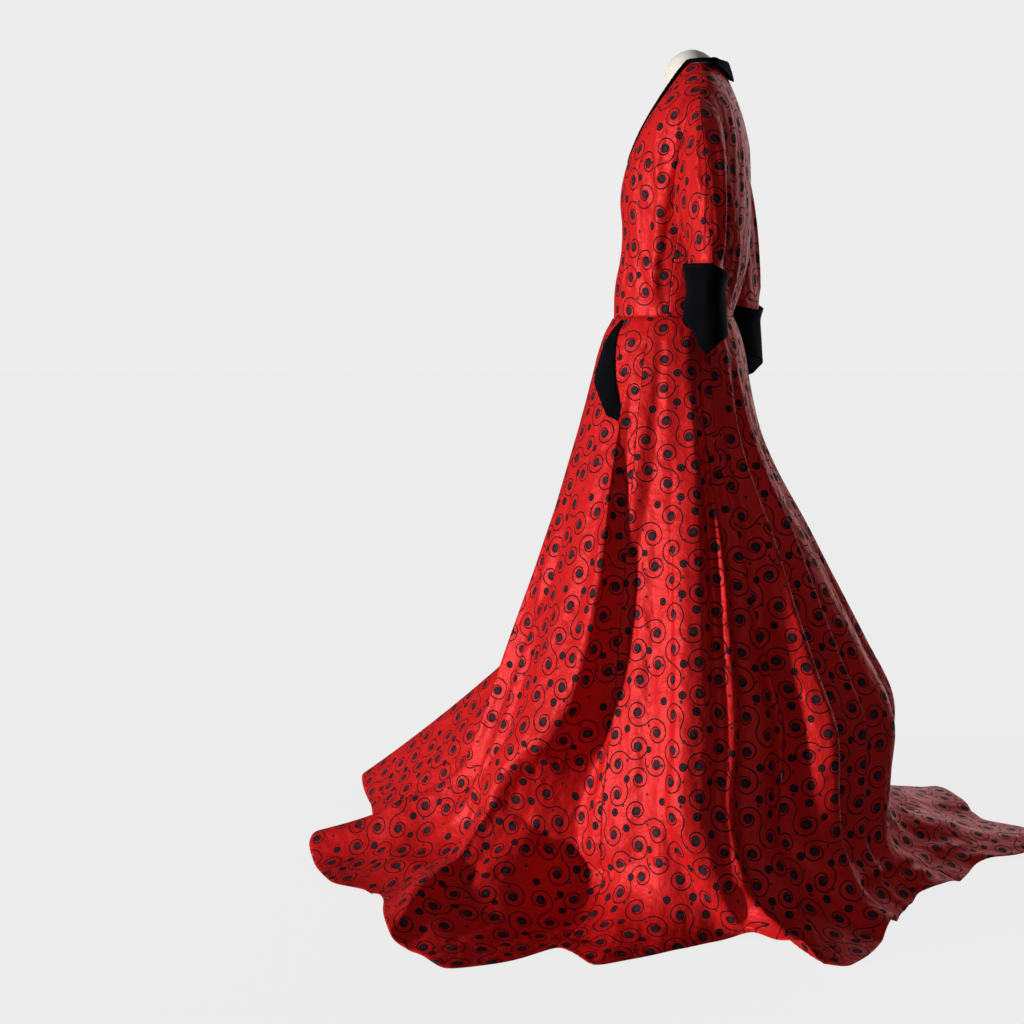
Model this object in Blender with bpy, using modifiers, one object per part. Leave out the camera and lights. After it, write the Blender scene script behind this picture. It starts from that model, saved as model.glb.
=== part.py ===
"""Hostess gown on a limbless dress form, as closed solids for a shared library.

Metres, +Z up. The gown's front faces -Y and the wearer's left is +X; the
origin is the middle of the stand's foot, on the floor. Cloth is a thin wall
worked out from section, fold and hem tables. Angles are counted in degrees
round the body: -90 is centre front, 0 the wearer's left, 90 centre back.
"""
import math

import bmesh
import bpy
import numpy as np

COLLECTION = "hostess_gown"
MM = 0.001
FULL_TURN = 360.0

WALL = 2.0 * MM          # thickness of the red cloth
VELVET = 2.5 * MM        # thickness of the velvet trims
SEAM_GAP = 0.3 * MM      # air between two sewn pieces
BODY_GAP = 1.5 * MM      # nominal air between the figure and the bodice
FORM_SHRINK = 0.5 * MM   # how far the form stays inside the figure
STEP = 1e-4              # finite difference used for normals
ROUNDING_SPAN = 0.012    # heights over which the figure's table is rounded off

WAIST_Z = 0.950
SHOULDER_Z = 1.292
UNDERARM_Z = 1.100
V_POINT_Z = 1.200
NECK_EDGE_Z = 1.360

# Figure under the bodice: height, half width, front, back, y of the widest points.
FIGURE = np.array((
    (0.700, 0.148, -0.112, 0.104, 0.000),
    (0.780, 0.146, -0.112, 0.101, 0.000),
    (0.860, 0.136, -0.108, 0.095, 0.000),
    (0.950, 0.118, -0.107, 0.087, 0.000),
    (1.000, 0.123, -0.104, 0.100, 0.004),
    (1.050, 0.131, -0.095, 0.112, 0.011),
    (1.100, 0.142, -0.092, 0.116, 0.020),
    (1.150, 0.153, -0.095, 0.115, 0.030),
    (1.200, 0.161, -0.085, 0.113, 0.039),
    (1.240, 0.165, -0.068, 0.110, 0.046),
    (1.265, 0.164, -0.055, 0.105, 0.049),
    (1.285, 0.156, -0.042, 0.100, 0.051),
    (1.305, 0.137, -0.028, 0.093, 0.052),
    (1.325, 0.111, -0.016, 0.085, 0.051),
    (1.345, 0.080, -0.009, 0.076, 0.047),
    (1.360, 0.059, -0.008, 0.069, 0.038),
))
# Neck of the form above the shoulders, in the same columns.
NECK = np.array((
    (1.367, 0.051, -0.0200, 0.0600, 0.020),
    (1.375, 0.047, -0.0165, 0.0555, 0.020),
    (1.382, 0.040, -0.0095, 0.0490, 0.020),
    (1.388, 0.030, -0.0005, 0.0405, 0.020),
    (1.392, 0.016, 0.0090, 0.0310, 0.020),
))
# The neck as an upright oval that stands out of the figure: half width, half depth, y.
THROAT = (0.0500, 0.0430, 0.0180)
# Hang of the skirt without its folds, in the same columns.
SKIRT = np.array((
    (0.950, 0.1235, -0.1125, 0.0925, 0.000),
    (0.925, 0.139, -0.126, 0.103, 0.000),
    (0.900, 0.148, -0.135, 0.110, 0.000),
    (0.850, 0.163, -0.148, 0.119, 0.000),
    (0.800, 0.177, -0.161, 0.129, 0.000),
    (0.750, 0.191, -0.175, 0.142, 0.000),
    (0.700, 0.206, -0.190, 0.162, 0.000),
    (0.600, 0.236, -0.219, 0.213, 0.000),
    (0.500, 0.264, -0.247, 0.261, 0.000),
    (0.400, 0.292, -0.280, 0.312, 0.000),
    (0.300, 0.318, -0.312, 0.360, 0.000),
    (0.200, 0.342, -0.345, 0.358, 0.000),
    (0.100, 0.355, -0.366, 0.350, 0.000),
))
# Where the skirt starts to spread on to the floor: angle, height of the break,
# reach of the hem, sharpness of the bend (0 is a straight slope), millimetres by
# which the skirt is drawn in at the break.
HEM = np.array((
    (-115.0, 0.360, 0.770, 0.05, 0.0),
    (-104.0, 0.340, 0.645, 0.15, 0.0),
    (-97.0, 0.270, 0.595, 0.40, 0.0),
    (-90.0, 0.220, 0.585, 0.40, 0.0),
    (-84.0, 0.200, 0.625, 0.35, 0.0),
    (-78.0, 0.180, 0.654, 0.45, 0.0),
    (-72.0, 0.160, 0.636, 0.55, 0.0),
    (-64.0, 0.150, 0.610, 0.65, 0.0),
    (-60.0, 0.140, 0.562, 0.70, 0.0),
    (-54.0, 0.140, 0.548, 0.75, 0.0),
    (-48.0, 0.140, 0.560, 0.60, 0.0),
    (-42.0, 0.145, 0.588, 0.30, 0.0),
    (-36.0, 0.140, 0.620, 0.15, 5.0),
    (-31.0, 0.115, 0.606, 0.35, 20.0),
    (-25.0, 0.080, 0.622, 0.80, 38.0),
    (-19.0, 0.070, 0.545, 0.90, 44.0),
    (-15.0, 0.070, 0.462, 0.90, 42.0),
    (-11.0, 0.080, 0.472, 0.90, 36.0),
    (-6.0, 0.095, 0.506, 0.85, 26.0),
    (-1.0, 0.110, 0.470, 0.80, 16.0),
    (7.0, 0.130, 0.424, 0.70, 3.0),
    (15.0, 0.140, 0.394, 0.60, 0.0),
    (24.0, 0.140, 0.372, 0.65, 0.0),
    (28.0, 0.140, 0.470, 0.70, 0.0),
    (31.0, 0.130, 0.484, 0.75, 0.0),
    (36.0, 0.130, 0.524, 0.80, 0.0),
    (42.0, 0.130, 0.504, 0.75, 0.0),
    (51.0, 0.130, 0.466, 0.75, 0.0),
    (63.0, 0.130, 0.432, 0.75, 0.0),
    (74.0, 0.130, 0.428, 0.80, 0.0),
    (80.0, 0.130, 0.464, 0.80, 0.0),
    (90.0, 0.130, 0.492, 0.85, 0.0),
    (96.0, 0.130, 0.512, 0.85, 0.0),
    (100.0, 0.130, 0.568, 0.85, 0.0),
    (107.0, 0.140, 0.690, 0.85, 0.0),
    (113.0, 0.140, 0.705, 0.85, 0.0),
    (121.0, 0.150, 0.630, 0.80, 0.0),
    (130.0, 0.150, 0.655, 0.80, 0.0),
    (139.0, 0.150, 0.686, 0.80, 0.0),
    (150.0, 0.140, 0.580, 0.75, 0.0),
    (180.0, 0.130, 0.520, 0.75, 0.0),
    (205.0, 0.130, 0.545, 0.75, 0.0),
    (228.0, 0.200, 0.640, 0.50, 0.0),
    (245.0, 0.360, 0.770, 0.05, 0.0),
))
HEM_SMOOTHING = ((-2.5, 0.25), (0.0, 0.5), (2.5, 0.25))  # degrees aside, weight
HEM_Z = WALL + 0.6 * MM  # height of the hem's upper side on the floor
FLOOR_GAP = 0.3 * MM     # lowest height of the cloth's under side
BREAK_SHARE = 0.8        # share of the skirt's rows above the break
LEAN_START = 0.65        # row from which the folds lean over towards the break's slope
FOLD_GROWTH = 0.55       # share of the rows in which a fold grows to its full height
FLOOR_FADE = 0.7         # how early a fold flattens on the floor, less is earlier
FLOOR_RIDGE = 0.75       # share of a ridge's height that is left at the hem
INSET_GROWTH = 3.0       # how late the skirt is drawn in, more is nearer the break
# Rows at which every fold's angle is listed (0 is the waist, 1 the hem).
STATIONS = (0.0, 0.2, 0.4, 0.55, 0.65, 0.75, 0.85, 1.0)
# Folds: angle at each station, row where it starts, millimetres (ridge above
# zero, valley below), width before and after the line in degrees.
FOLDS = (
    ((-30, -29, -24, -27, -33, -42, -46, -40), 0.08, 34, 15, 5.0),
    ((-5, -6, -11, -14, -20, -26, -25, -16), 0.10, -28, 6, 15),
    ((-70, -70, -71, -72, -72, -73, -76, -82), 0.30, 18, 7, 6),
    ((-50, -50, -51, -52, -52, -56, -62, -66), 0.35, -20, 6, 7),
    ((-34, -34, -34, -35, -38, -54, -70, -82), 0.62, 30, 7, 6),
    ((12, 12, 12, 11, 10, 11, 17, 27), 0.20, 26, 4.0, 9),
    ((38, 38, 37, 36, 36, 37, 41, 44), 0.10, -28, 6, 5),
    ((44, 43, 42, 42, 42, 43, 46, 51), 0.08, 25, 5.5, 8),
    ((58, 58, 60, 61, 61, 61, 63, 64), 0.15, -14, 6, 6),
    ((70, 71, 73, 74, 74, 74, 76, 80), 0.12, 23, 8, 5),
    ((84, 85, 87, 88, 88, 88, 88, 89), 0.15, -14, 6, 6),
    ((98, 99, 100, 101, 102, 103, 106, 109), 0.20, 14, 7, 7),
    ((114, 115, 117, 118, 119, 119, 120, 121), 0.20, -16, 6, 6),
    ((130, 131, 132, 133, 133, 133, 134, 134), 0.20, 18, 7, 7),
    ((145, 146, 147, 147, 147, 147, 147, 147), 0.20, -16, 7, 7),
    ((162, 162, 162, 162, 162, 162, 162, 162), 0.20, 20, 8, 8),
    ((180, 180, 180, 180, 180, 180, 180, 180), 0.20, -18, 8, 8),
    ((198, 198, 198, 199, 199, 200, 201, 203), 0.20, 20, 8, 8),
    ((214, 214, 214, 214, 215, 216, 218, 220), 0.20, -18, 7, 7),
    ((230, 231, 233, 236, 239, 241, 243, 245), 0.25, 22, 8, 8),
    ((262, 262, 262, 261, 261, 261, 261, 261), 0.30, -18, 7, 6),
)
# Neckline edge of the front: height, angle. Armhole: height, front, back angle.
NECKLINE = np.array((
    (1.200, -89.7), (1.250, -79.6), (1.275, -75.0), (1.300, -68.5),
    (1.325, -58.5), (1.345, -43.0), (1.360, -21.0),
))
ARMHOLE = np.array((
    (1.100, 0.0, 0.0), (1.106, -3.0, 10.0), (1.125, -7.0, 26.0),
    (1.165, -9.0, 38.0), (1.210, -9.0, 41.0), (1.250, -8.0, 37.0),
    (1.275, -6.0, 25.0), (1.287, -3.0, 12.0), (1.292, 0.0, 0.0),
))

# Sleeve: lower end of the tube, its outward direction and its two half sizes.
CUFF_CENTRE = np.array((0.215, 0.070, 1.026))
CUFF_OUTWARD = np.array((0.966, 0.259, 0.0))
CUFF_FORWARD = np.array((0.259, -0.966, 0.0))
SLEEVE_HALF_WIDTH = 0.058
SLEEVE_HALF_DEPTH = 0.026
SLEEVE_TUCK = 0.042      # how far the sleeve runs on inside the cuff
CUFF_FLARE = 4.5 * MM    # how far the cuff stands off at its two rims
# Rims of the cuff: turn (0 outside the arm, 90 its front), upper and lower rim in
# millimetres above the sleeve's end. The lower rim has its point outside the arm.
CUFF_RIMS = np.array((
    (0.0, 2.0, -130.0), (15.0, 2.0, -133.0), (45.0, 3.0, -102.0), (75.0, 4.0, -85.0),
    (90.0, 5.0, -80.0), (135.0, 2.0, -90.0), (180.0, -4.0, -99.0), (225.0, -10.0, -98.0),
    (270.0, -15.0, -101.0), (315.0, -10.0, -111.0), (345.0, -3.0, -121.0),
    (360.0, 2.0, -130.0),
))
CUFF_FORWARD_STAND = 1.35  # how much more it stands off to the front and back
CUFF_CLEAR = 0.45 * MM   # air between the sleeve's end and the cuff
CUFF_GRIP = 8.0 * MM     # where the cuff holds the sleeve, above the sleeve's lower rim
# How much lower and further back the right sleeve's end hangs.
RIGHT_SLEEVE_DROP = 0.046
RIGHT_SLEEVE_BACK = 0.016
# Direction in which the sleeve leaves the armhole, on the body's side and over the arm.
LEAVE_UNDER = np.array((0.55, 0.12, -0.80))
LEAVE_OVER = np.array((0.92, 0.15, -0.55))
HANG_DOWN = np.array((0.0, 0.0, -1.0))
ARMHOLE_INSET = 0.92     # share of the armhole's width that the sleeve starts from
SLEEVE_CLEAR = 0.9 * MM  # air between the bodice and the sleeve's first row


def column(table, key, index):
    """Read one column of a table at a height or an angle.

    Args:
        table: rows sorted by their first value, either way.
        key: value or array looked up in the first column.
        index: number of the column that is read.

    Returns:
        The value, joined linearly between the rows.
    """
    order = np.argsort(table[:, 0])
    return np.interp(key, table[order, 0], table[order, index])


def smooth_column(table, key, index):
    """Read a column as column() does, rounded off over the neighbouring heights."""
    span = ROUNDING_SPAN
    return (column(table, key - span, index) + 2.0 * column(table, key, index)
            + column(table, key + span, index)) / 4.0


def ring_point(table, angle, height, read=smooth_column):
    """Point of a body section, which is two half ellipses joined at the sides."""
    turn = np.radians(angle)
    side = read(table, height, 1) * np.cos(turn)
    middle = read(table, height, 4)
    front = middle - read(table, height, 2)
    back = read(table, height, 3) - middle
    across = np.sin(turn)
    depth = np.where(across < 0.0, front, back) * across + middle
    return np.stack(np.broadcast_arrays(side, depth, height), axis=-1)


def figure(angle, height):
    """Surface of the dress form under the bodice."""
    return ring_point(FIGURE, angle, height)


def normal_of(surface, first, second, sign=1.0, reach=(100.0 * STEP, STEP)):
    """Unit normal of a surface function, by finite differences.

    Args:
        surface: function of an angle in degrees and a second value.
        first: the angles.
        second: the heights or rows.
        sign: -1 for a surface whose second value runs downwards.
        reach: how far the differences reach each way, in both values.

    Returns:
        Unit vectors that point away from the body.
    """
    along = surface(first + reach[0], second) - surface(first - reach[0], second)
    down = surface(first, second + reach[1]) - surface(first, second - reach[1])
    cross = np.cross(along, down)
    return sign * cross / np.linalg.norm(cross, axis=-1, keepdims=True)


def hem_value(angle, index):
    """Read the hem table all round, smoothed over a few degrees."""
    total = 0.0
    start = HEM[0, 0]
    for shift, weight in HEM_SMOOTHING:
        turned = np.mod(angle + shift - start, FULL_TURN) + start
        total = total + weight * np.interp(turned, HEM[:, 0], HEM[:, index])
    return total


def fold_height(angle, row):
    """Height of all folds over the skirt's smooth hang, in metres."""
    total = np.zeros(np.broadcast(angle, row).shape)
    for track, start, peak, before, after in FOLDS:
        line = np.interp(row, STATIONS, track)
        off = np.mod(angle - line + 180.0, FULL_TURN) - 180.0
        width = np.where(off < 0.0, before, after)
        grown = np.clip((row - start) / FOLD_GROWTH, 0.0, 1.0)
        total = total + peak * MM * grown * np.exp(-(off / width) ** 2)
    return total


def skirt(angle, row):
    """Outer surface of the skirt, from the waist seam to the hem on the floor."""
    turn = np.radians(angle)
    out = np.stack(np.broadcast_arrays(np.cos(turn), np.sin(turn), 0.0 * row), axis=-1)
    up = np.zeros_like(out)
    up[..., 2] = 1.0
    break_z = hem_value(angle, 1)
    reach = hem_value(angle, 2)
    sharp = hem_value(angle, 3)
    share = np.clip(row / BREAK_SHARE, 0.0, 1.0)
    height = WAIST_Z - (WAIST_Z - break_z) * share
    inset = hem_value(angle, 4) * MM * share ** INSET_GROWTH
    hung = ring_point(SKIRT, angle, height, column) - out * inset[..., None]
    start = np.linalg.norm(hung[..., :2], axis=-1)
    spread = np.clip((row - BREAK_SHARE) / (1.0 - BREAK_SHARE), 0.0, 1.0)
    bend_r = start + (1.0 - sharp) * 0.5 * (reach - start)
    bend_z = HEM_Z + (1.0 - sharp) * 0.5 * (break_z - HEM_Z)
    near = (1.0 - spread) ** 2
    middle = 2.0 * spread * (1.0 - spread)
    far = spread ** 2
    radius = near * start + middle * bend_r + far * reach
    level = near * break_z + middle * bend_z + far * HEM_Z
    slope_r = (1.0 - spread) * (bend_r - start) + spread * (reach - bend_r)
    slope_z = (1.0 - spread) * (bend_z - break_z) + spread * (HEM_Z - bend_z)
    length = np.maximum(np.hypot(slope_r, slope_z), STEP)
    point = np.where((row < BREAK_SHARE)[..., None], hung,
                     out * radius[..., None] + up * level[..., None])
    turned = np.clip((row - LEAN_START) / (BREAK_SHARE - LEAN_START), 0.0, 1.0)
    lean_out = 1.0 - turned * (1.0 + slope_z / length)
    lean_up = turned * slope_r / length
    lift = fold_height(angle, row)
    floor_share = spread ** FLOOR_FADE
    lift = lift * (1.0 - floor_share) + np.maximum(lift, 0.0) * FLOOR_RIDGE * floor_share
    point = point + out * (lift * lean_out)[..., None] + up * (lift * lean_up)[..., None]
    point[..., 2] = np.maximum(point[..., 2], HEM_Z)
    return point


def armhole_point(turn, offset):
    """Point of the armhole, 0 at the shoulder, half a turn at the underarm."""
    middle = 0.5 * (SHOULDER_Z + UNDERARM_Z)
    half = 0.5 * (SHOULDER_Z - UNDERARM_Z) - 0.5 * MM
    height = middle + half * np.cos(turn)
    front = np.interp(height, ARMHOLE[:, 0], ARMHOLE[:, 1])
    back = np.interp(height, ARMHOLE[:, 0], ARMHOLE[:, 2])
    angle = np.where(np.sin(turn) > 0.0, front, back) * ARMHOLE_INSET
    point = figure(angle, height)
    return point + normal_of(figure, angle, height) * offset


def sleeve_end(turn, height):
    """Lower end of the sleeve tube, carried straight down to a height."""
    point = (CUFF_CENTRE
             + CUFF_OUTWARD * (SLEEVE_HALF_WIDTH * np.cos(turn))[..., None]
             + CUFF_FORWARD * (SLEEVE_HALF_DEPTH * np.sin(turn))[..., None])
    point[..., 2] = height
    return point


def sleeve(turn_degrees, row):
    """Outer surface of the left sleeve; row 0 is the armhole, 1 the sleeve's end."""
    turn = np.radians(turn_degrees)
    top = armhole_point(turn, WALL + BODY_GAP + SLEEVE_CLEAR)
    end = sleeve_end(turn, CUFF_CENTRE[2] + 0.0 * turn)
    reach = np.linalg.norm(end - top, axis=-1, keepdims=True)
    outer = (0.5 + 0.5 * np.cos(turn))[..., None]
    leave = LEAVE_UNDER * (1.0 - outer) + LEAVE_OVER * outer
    step = np.clip(row, 0.0, 1.0)[..., None]
    from_top = 2.0 * step ** 3 - 3.0 * step ** 2 + 1.0
    along_leave = step ** 3 - 2.0 * step ** 2 + step
    along_hang = step ** 3 - step ** 2
    point = (from_top * top + along_leave * leave * reach
             + (1.0 - from_top) * end + along_hang * HANG_DOWN * reach)
    point[..., 2] -= np.maximum(row - 1.0, 0.0)
    return point


def cuff(turn_degrees, row):
    """Inner surface of the left cuff; row 0 is the top rim, 1 the lower one."""
    turn = np.radians(turn_degrees)
    top = CUFF_CENTRE[2] + np.interp(turn_degrees, CUFF_RIMS[:, 0], CUFF_RIMS[:, 1]) * MM
    low = CUFF_CENTRE[2] + np.interp(turn_degrees, CUFF_RIMS[:, 0], CUFF_RIMS[:, 2]) * MM
    height = top + (low - top) * row
    grip = (CUFF_CENTRE[2] - SLEEVE_TUCK + CUFF_GRIP - top) / (low - top)
    away = np.where(row < grip, (grip - row) / grip, (row - grip) / (1.0 - grip))
    stand = CUFF_CLEAR + CUFF_FLARE * away ** 1.5
    point = sleeve_end(turn, height)
    point += CUFF_OUTWARD * (stand * np.cos(turn))[..., None]
    point += CUFF_FORWARD * (stand * CUFF_FORWARD_STAND * np.sin(turn))[..., None]
    return point


def split_face(points, a, b, c, d):
    """Cut a four-sided face into two triangles along its shorter diagonal."""
    if np.linalg.norm(points[a] - points[c]) <= np.linalg.norm(points[b] - points[d]):
        return (a, b, c), (a, c, d)
    return (a, b, d), (b, c, d)


def solid_from_grids(name, outer, inner, closed=False):
    """Join an outer and an inner grid of points into one closed solid.

    Both sides are cut into triangles along the same diagonals, so that the two
    never meet where the cloth twists.

    Args:
        name: name of the object and of its mesh.
        outer: points of the outer side, rows by columns by 3.
        inner: points of the inner side, in the same order.
        closed: True when the last column meets the first one.

    Returns:
        The new object, linked to the scene.
    """
    rows, columns = outer.shape[:2]
    points = np.concatenate((outer.reshape(-1, 3), inner.reshape(-1, 3)))
    shift = rows * columns
    faces = []
    spans = columns if closed else columns - 1
    for i in range(rows - 1):
        for j in range(spans):
            k = (j + 1) % columns
            a, b = i * columns + j, i * columns + k
            c, d = (i + 1) * columns + k, (i + 1) * columns + j
            for triangle in split_face(points, a, b, c, d):
                faces.append(triangle)
                faces.append(tuple(shift + corner for corner in reversed(triangle)))
    for j in range(spans):
        k = (j + 1) % columns
        last = (rows - 1) * columns
        faces.append((k, j, shift + j, shift + k))
        faces.append((last + j, last + k, shift + last + k, shift + last + j))
    if not closed:
        for i in range(rows - 1):
            a, d = i * columns, (i + 1) * columns
            faces.append((a, d, shift + d, shift + a))
            a, d = a + columns - 1, d + columns - 1
            faces.append((d, a, shift + a, shift + d))
    return add_object(name, points, faces)


def add_object(name, points, faces):
    """Add a mesh object whose faces look outwards."""
    mesh = bpy.data.meshes.new(name)
    mesh.from_pydata([tuple(map(float, point)) for point in points], [], faces)
    made = bmesh.new()
    made.from_mesh(mesh)
    bmesh.ops.recalc_face_normals(made, faces=made.faces)
    made.to_mesh(mesh)
    made.free()
    mesh.shade_smooth()
    thing = bpy.data.objects.new(name, mesh)
    bpy.data.collections[COLLECTION].objects.link(thing)
    return thing


def mirrored(points):
    """The same points on the other side of the body."""
    return points * np.array((-1.0, 1.0, 1.0))


def paint(thing, material):
    """Give an object its material."""
    thing.data.materials.append(material)
    return thing


def material(name, colour, roughness, metallic=0.0):
    """Make a plain material."""
    made = bpy.data.materials.new(name)
    made.use_nodes = True
    shader = made.node_tree.nodes["Principled BSDF"]
    shader.inputs["Base Color"].default_value = (*colour, 1.0)
    shader.inputs["Roughness"].default_value = roughness
    shader.inputs["Metallic"].default_value = metallic
    return made


def panel_grid(heights, edges, count):
    """Angles of a panel: each row runs between its own two edges."""
    share = np.linspace(0.0, 1.0, count)
    low = np.array([edge[0] for edge in edges])[:, None]
    high = np.array([edge[1] for edge in edges])[:, None]
    return low + (high - low) * share, np.repeat(heights[:, None], count, axis=1)


def gap_angle(height, table=FIGURE):
    """Half a seam gap, turned into degrees at a height."""
    return math.degrees(0.5 * SEAM_GAP / column(table, height, 1))


def bodice_sides(angle, height):
    """Inner and outer side of the bodice at points of the figure."""
    base = figure(angle, height)
    away = normal_of(figure, angle, height)
    inner, outer = base + away * BODY_GAP, base + away * (BODY_GAP + WALL)
    seam = height <= BODICE_ROWS[0]
    inner[seam, 2] = outer[seam, 2] = BODICE_ROWS[0]
    return inner, outer


def armhole_edge(height, index):
    """Angle of the bodice's edge at the side: the side seam or the armhole."""
    gap = gap_angle(height)
    if height <= UNDERARM_Z or height >= SHOULDER_Z:
        return -gap if index == 1 else gap
    found = float(np.interp(height, ARMHOLE[:, 0], ARMHOLE[:, index]))
    return min(found, -gap) if index == 1 else max(found, gap)


BODICE_ROWS = np.array((
    0.9503, 0.985, 1.025, 1.065, 1.0995, 1.106, 1.125, 1.160, 1.1995, 1.225, 1.250,
    1.265, 1.277, 1.2865, 1.2935, 1.307, 1.322, 1.335, 1.346, 1.353, 1.360,
))
# The back's edge turns faster under and over the arm, so it has more rows there.
BACK_ROWS = np.sort(np.concatenate((BODICE_ROWS, (1.102, 1.114, 1.141, 1.282, 1.2905))))
FRONT_COLUMNS = 10
BACK_COLUMNS = 17


def build_bodice(cloth):
    """Two fronts that meet at centre front and one back across both shoulders."""
    edges = []
    for height in BODICE_ROWS:
        centre = -90.0 + gap_angle(height)
        if height > V_POINT_Z:
            centre = float(np.interp(height, NECKLINE[:, 0], NECKLINE[:, 1]))
        edges.append((centre, armhole_edge(height, 1)))
    angle, height = panel_grid(BODICE_ROWS, edges, FRONT_COLUMNS)
    inner, outer = bodice_sides(angle, height)
    paint(solid_from_grids("bodice_front_left", outer, inner), cloth)
    paint(solid_from_grids("bodice_front_right", mirrored(outer), mirrored(inner)), cloth)
    edges = [(armhole_edge(height, 2), 180.0 - armhole_edge(height, 2))
             for height in BACK_ROWS]
    angle, height = panel_grid(BACK_ROWS, edges, BACK_COLUMNS)
    inner, outer = bodice_sides(angle, height)
    paint(solid_from_grids("bodice_back", outer, inner), cloth)


# Halves of a sleeve between the over-arm seam at 0 and the underarm seam at 180.
SLEEVE_HALVES = (("front", 0.0, 180.0), ("back", 180.0, 360.0))
SLEEVE_SEAM = 0.5        # degrees left free on each side of a sleeve seam
SLEEVE_COLUMNS = 10
SLEEVE_ROWS = np.concatenate((np.linspace(0.0, 1.0, 8), (1.0 + SLEEVE_TUCK,)))
CUFF_COLUMNS = 24
CUFF_ROWS = 6


def placed(points, side, share):
    """Bring a sleeve's points to their own side, moved by a share of its offset."""
    if side == "left":
        return points
    move = np.array((0.0, RIGHT_SLEEVE_BACK, -RIGHT_SLEEVE_DROP))
    return mirrored(points + share[..., None] * move)


def build_sleeve(side, cloth):
    """One sleeve as a front and a back half."""
    for half, first, last in SLEEVE_HALVES:
        edge = np.linspace(first + SLEEVE_SEAM, last - SLEEVE_SEAM, SLEEVE_COLUMNS)
        turn, row = np.meshgrid(edge, SLEEVE_ROWS)
        outer = sleeve(turn, row)
        facing = turn.copy()
        facing[:, 0], facing[:, -1] = first, last
        away = normal_of(sleeve, facing, np.clip(row, STEP, 1.0 - STEP))
        inner = outer - away * WALL
        share = np.clip(row, 0.0, 1.0) ** 2
        paint(solid_from_grids(f"sleeve_{half}_{side}", placed(outer, side, share),
                               placed(inner, side, share)), cloth)


def build_cuff(side, velvet):
    """One turned-back velvet cuff, a tube round the sleeve's end."""
    turn, row = np.meshgrid(np.linspace(0.0, FULL_TURN, CUFF_COLUMNS, endpoint=False),
                            np.linspace(0.0, 1.0, CUFF_ROWS))
    inner = cuff(turn, row)
    across = np.radians(turn)[..., None]
    away = (np.cos(across) * CUFF_OUTWARD / SLEEVE_HALF_WIDTH
            + np.sin(across) * CUFF_FORWARD / SLEEVE_HALF_DEPTH)
    away /= np.linalg.norm(away, axis=-1, keepdims=True)
    outer = inner + away * VELVET
    share = np.ones(turn.shape)
    paint(solid_from_grids(f"cuff_{side}", placed(outer, side, share),
                           placed(inner, side, share), closed=True), velvet)


def build_sleeves(cloth, velvet):
    """Both sleeves with their velvet cuffs."""
    for side in ("left", "right"):
        build_sleeve(side, cloth)
        build_cuff(side, velvet)


# Collar: share of the way from the V point to the nape, leaf above the edge,
# roll above the edge, fall outside, stand off of the fall, in millimetres.
COLLAR = np.array((
    (0.00, 2.2, 3.2, 11.0, 0.0),
    (0.12, 2.2, 3.4, 19.0, 0.0),
    (0.30, 2.2, 3.4, 20.0, 0.0),
    (0.46, 2.2, 3.4, 12.0, 0.0),
    (0.62, 2.2, 3.4, 6.5, 0.0),
    (0.72, 2.8, 4.2, 8.0, 0.6),
    (0.84, 4.0, 7.0, 19.0, 3.0),
    (1.00, 4.5, 8.0, 29.0, 6.0),
))
COLLAR_START = 0.013     # height of the collar's ends above the V point
COLLAR_UPRIGHT = (0.55, 0.75)  # shares between which the roll turns upright
COLLAR_CLEAR = (0.30, 0.45, 2.2 * MM)  # shares between which it stands off, and how far
FRONT_EDGE_POINTS = 13
NAPE_POINTS = 9


def neckline_path():
    """Angles, heights and shares of the way from the V point to the nape.

    The corner where the front edge meets the neck is one of the points.
    """
    heights = np.linspace(V_POINT_Z + COLLAR_START, NECK_EDGE_Z, 2 * FRONT_EDGE_POINTS)
    front = np.stack((np.interp(heights, NECKLINE[:, 0], NECKLINE[:, 1]), heights), axis=1)
    turns = np.linspace(front[-1, 0], 90.0, NAPE_POINTS)[1:]
    back = np.stack((turns, np.full(NAPE_POINTS - 1, NECK_EDGE_Z)), axis=1)

    def lengths(raw):
        steps = np.linalg.norm(np.diff(figure(raw[:, 0], raw[:, 1]), axis=0), axis=1)
        return np.concatenate(((0.0,), np.cumsum(steps)))

    walked = lengths(front)
    even = np.linspace(0.0, walked[-1], FRONT_EDGE_POINTS)
    front = np.stack([np.interp(even, walked, front[:, k]) for k in (0, 1)], axis=1)
    raw = np.concatenate((front, back))
    walked = lengths(raw)
    return raw[:, 0], raw[:, 1], walked / walked[-1]


def surface_step(angle, height, aside, distance):
    """Walk a distance over the figure, away from the neckline."""
    moved_angle, moved_height = angle.copy(), height.copy()
    steps = 8
    turn, rise = 0.5, 1.0 * MM
    for _ in range(steps):
        here = figure(moved_angle, moved_height)
        by_angle = (figure(moved_angle + turn, moved_height) - here) / turn
        by_height = (figure(moved_angle, moved_height + rise) - here) / rise
        piece = aside * (distance / steps)[..., None]
        grid = np.stack((by_angle, by_height), axis=-1)
        answer = np.einsum("...ij,...j->...i", np.linalg.pinv(grid), piece)
        moved_angle = moved_angle + answer[..., 0]
        moved_height = moved_height + answer[..., 1]
    return moved_angle, moved_height


# Lines of the collar's middle layer, from the inside over the roll to its outer
# edge. Raised lines: shares of the leaf and of the roll, millimetres off the
# bodice's inside, share of the outer clearance, share of the stand off.
RAISED_LINES = (
    (0.15, 0.0, 0.35, 0.0, 0.0),
    (1.0, 0.0, 0.5, 0.0, 0.0),
    (0.0, 1.0, 1.85, 0.0, 0.4),
    (0.0, 0.55, 0.7, 1.0, 0.9),
)
# Fallen lines: share of the fall, millimetres off, share of the stand off.
FALLEN_LINES = ((0.12, 0.2, 1.0), (0.55, 0.1, 0.8), (1.0, 0.1, 0.25))
NAPE_EDGE_STAND = 0.8 * MM  # how far the outer edge stands off round the nape


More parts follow.
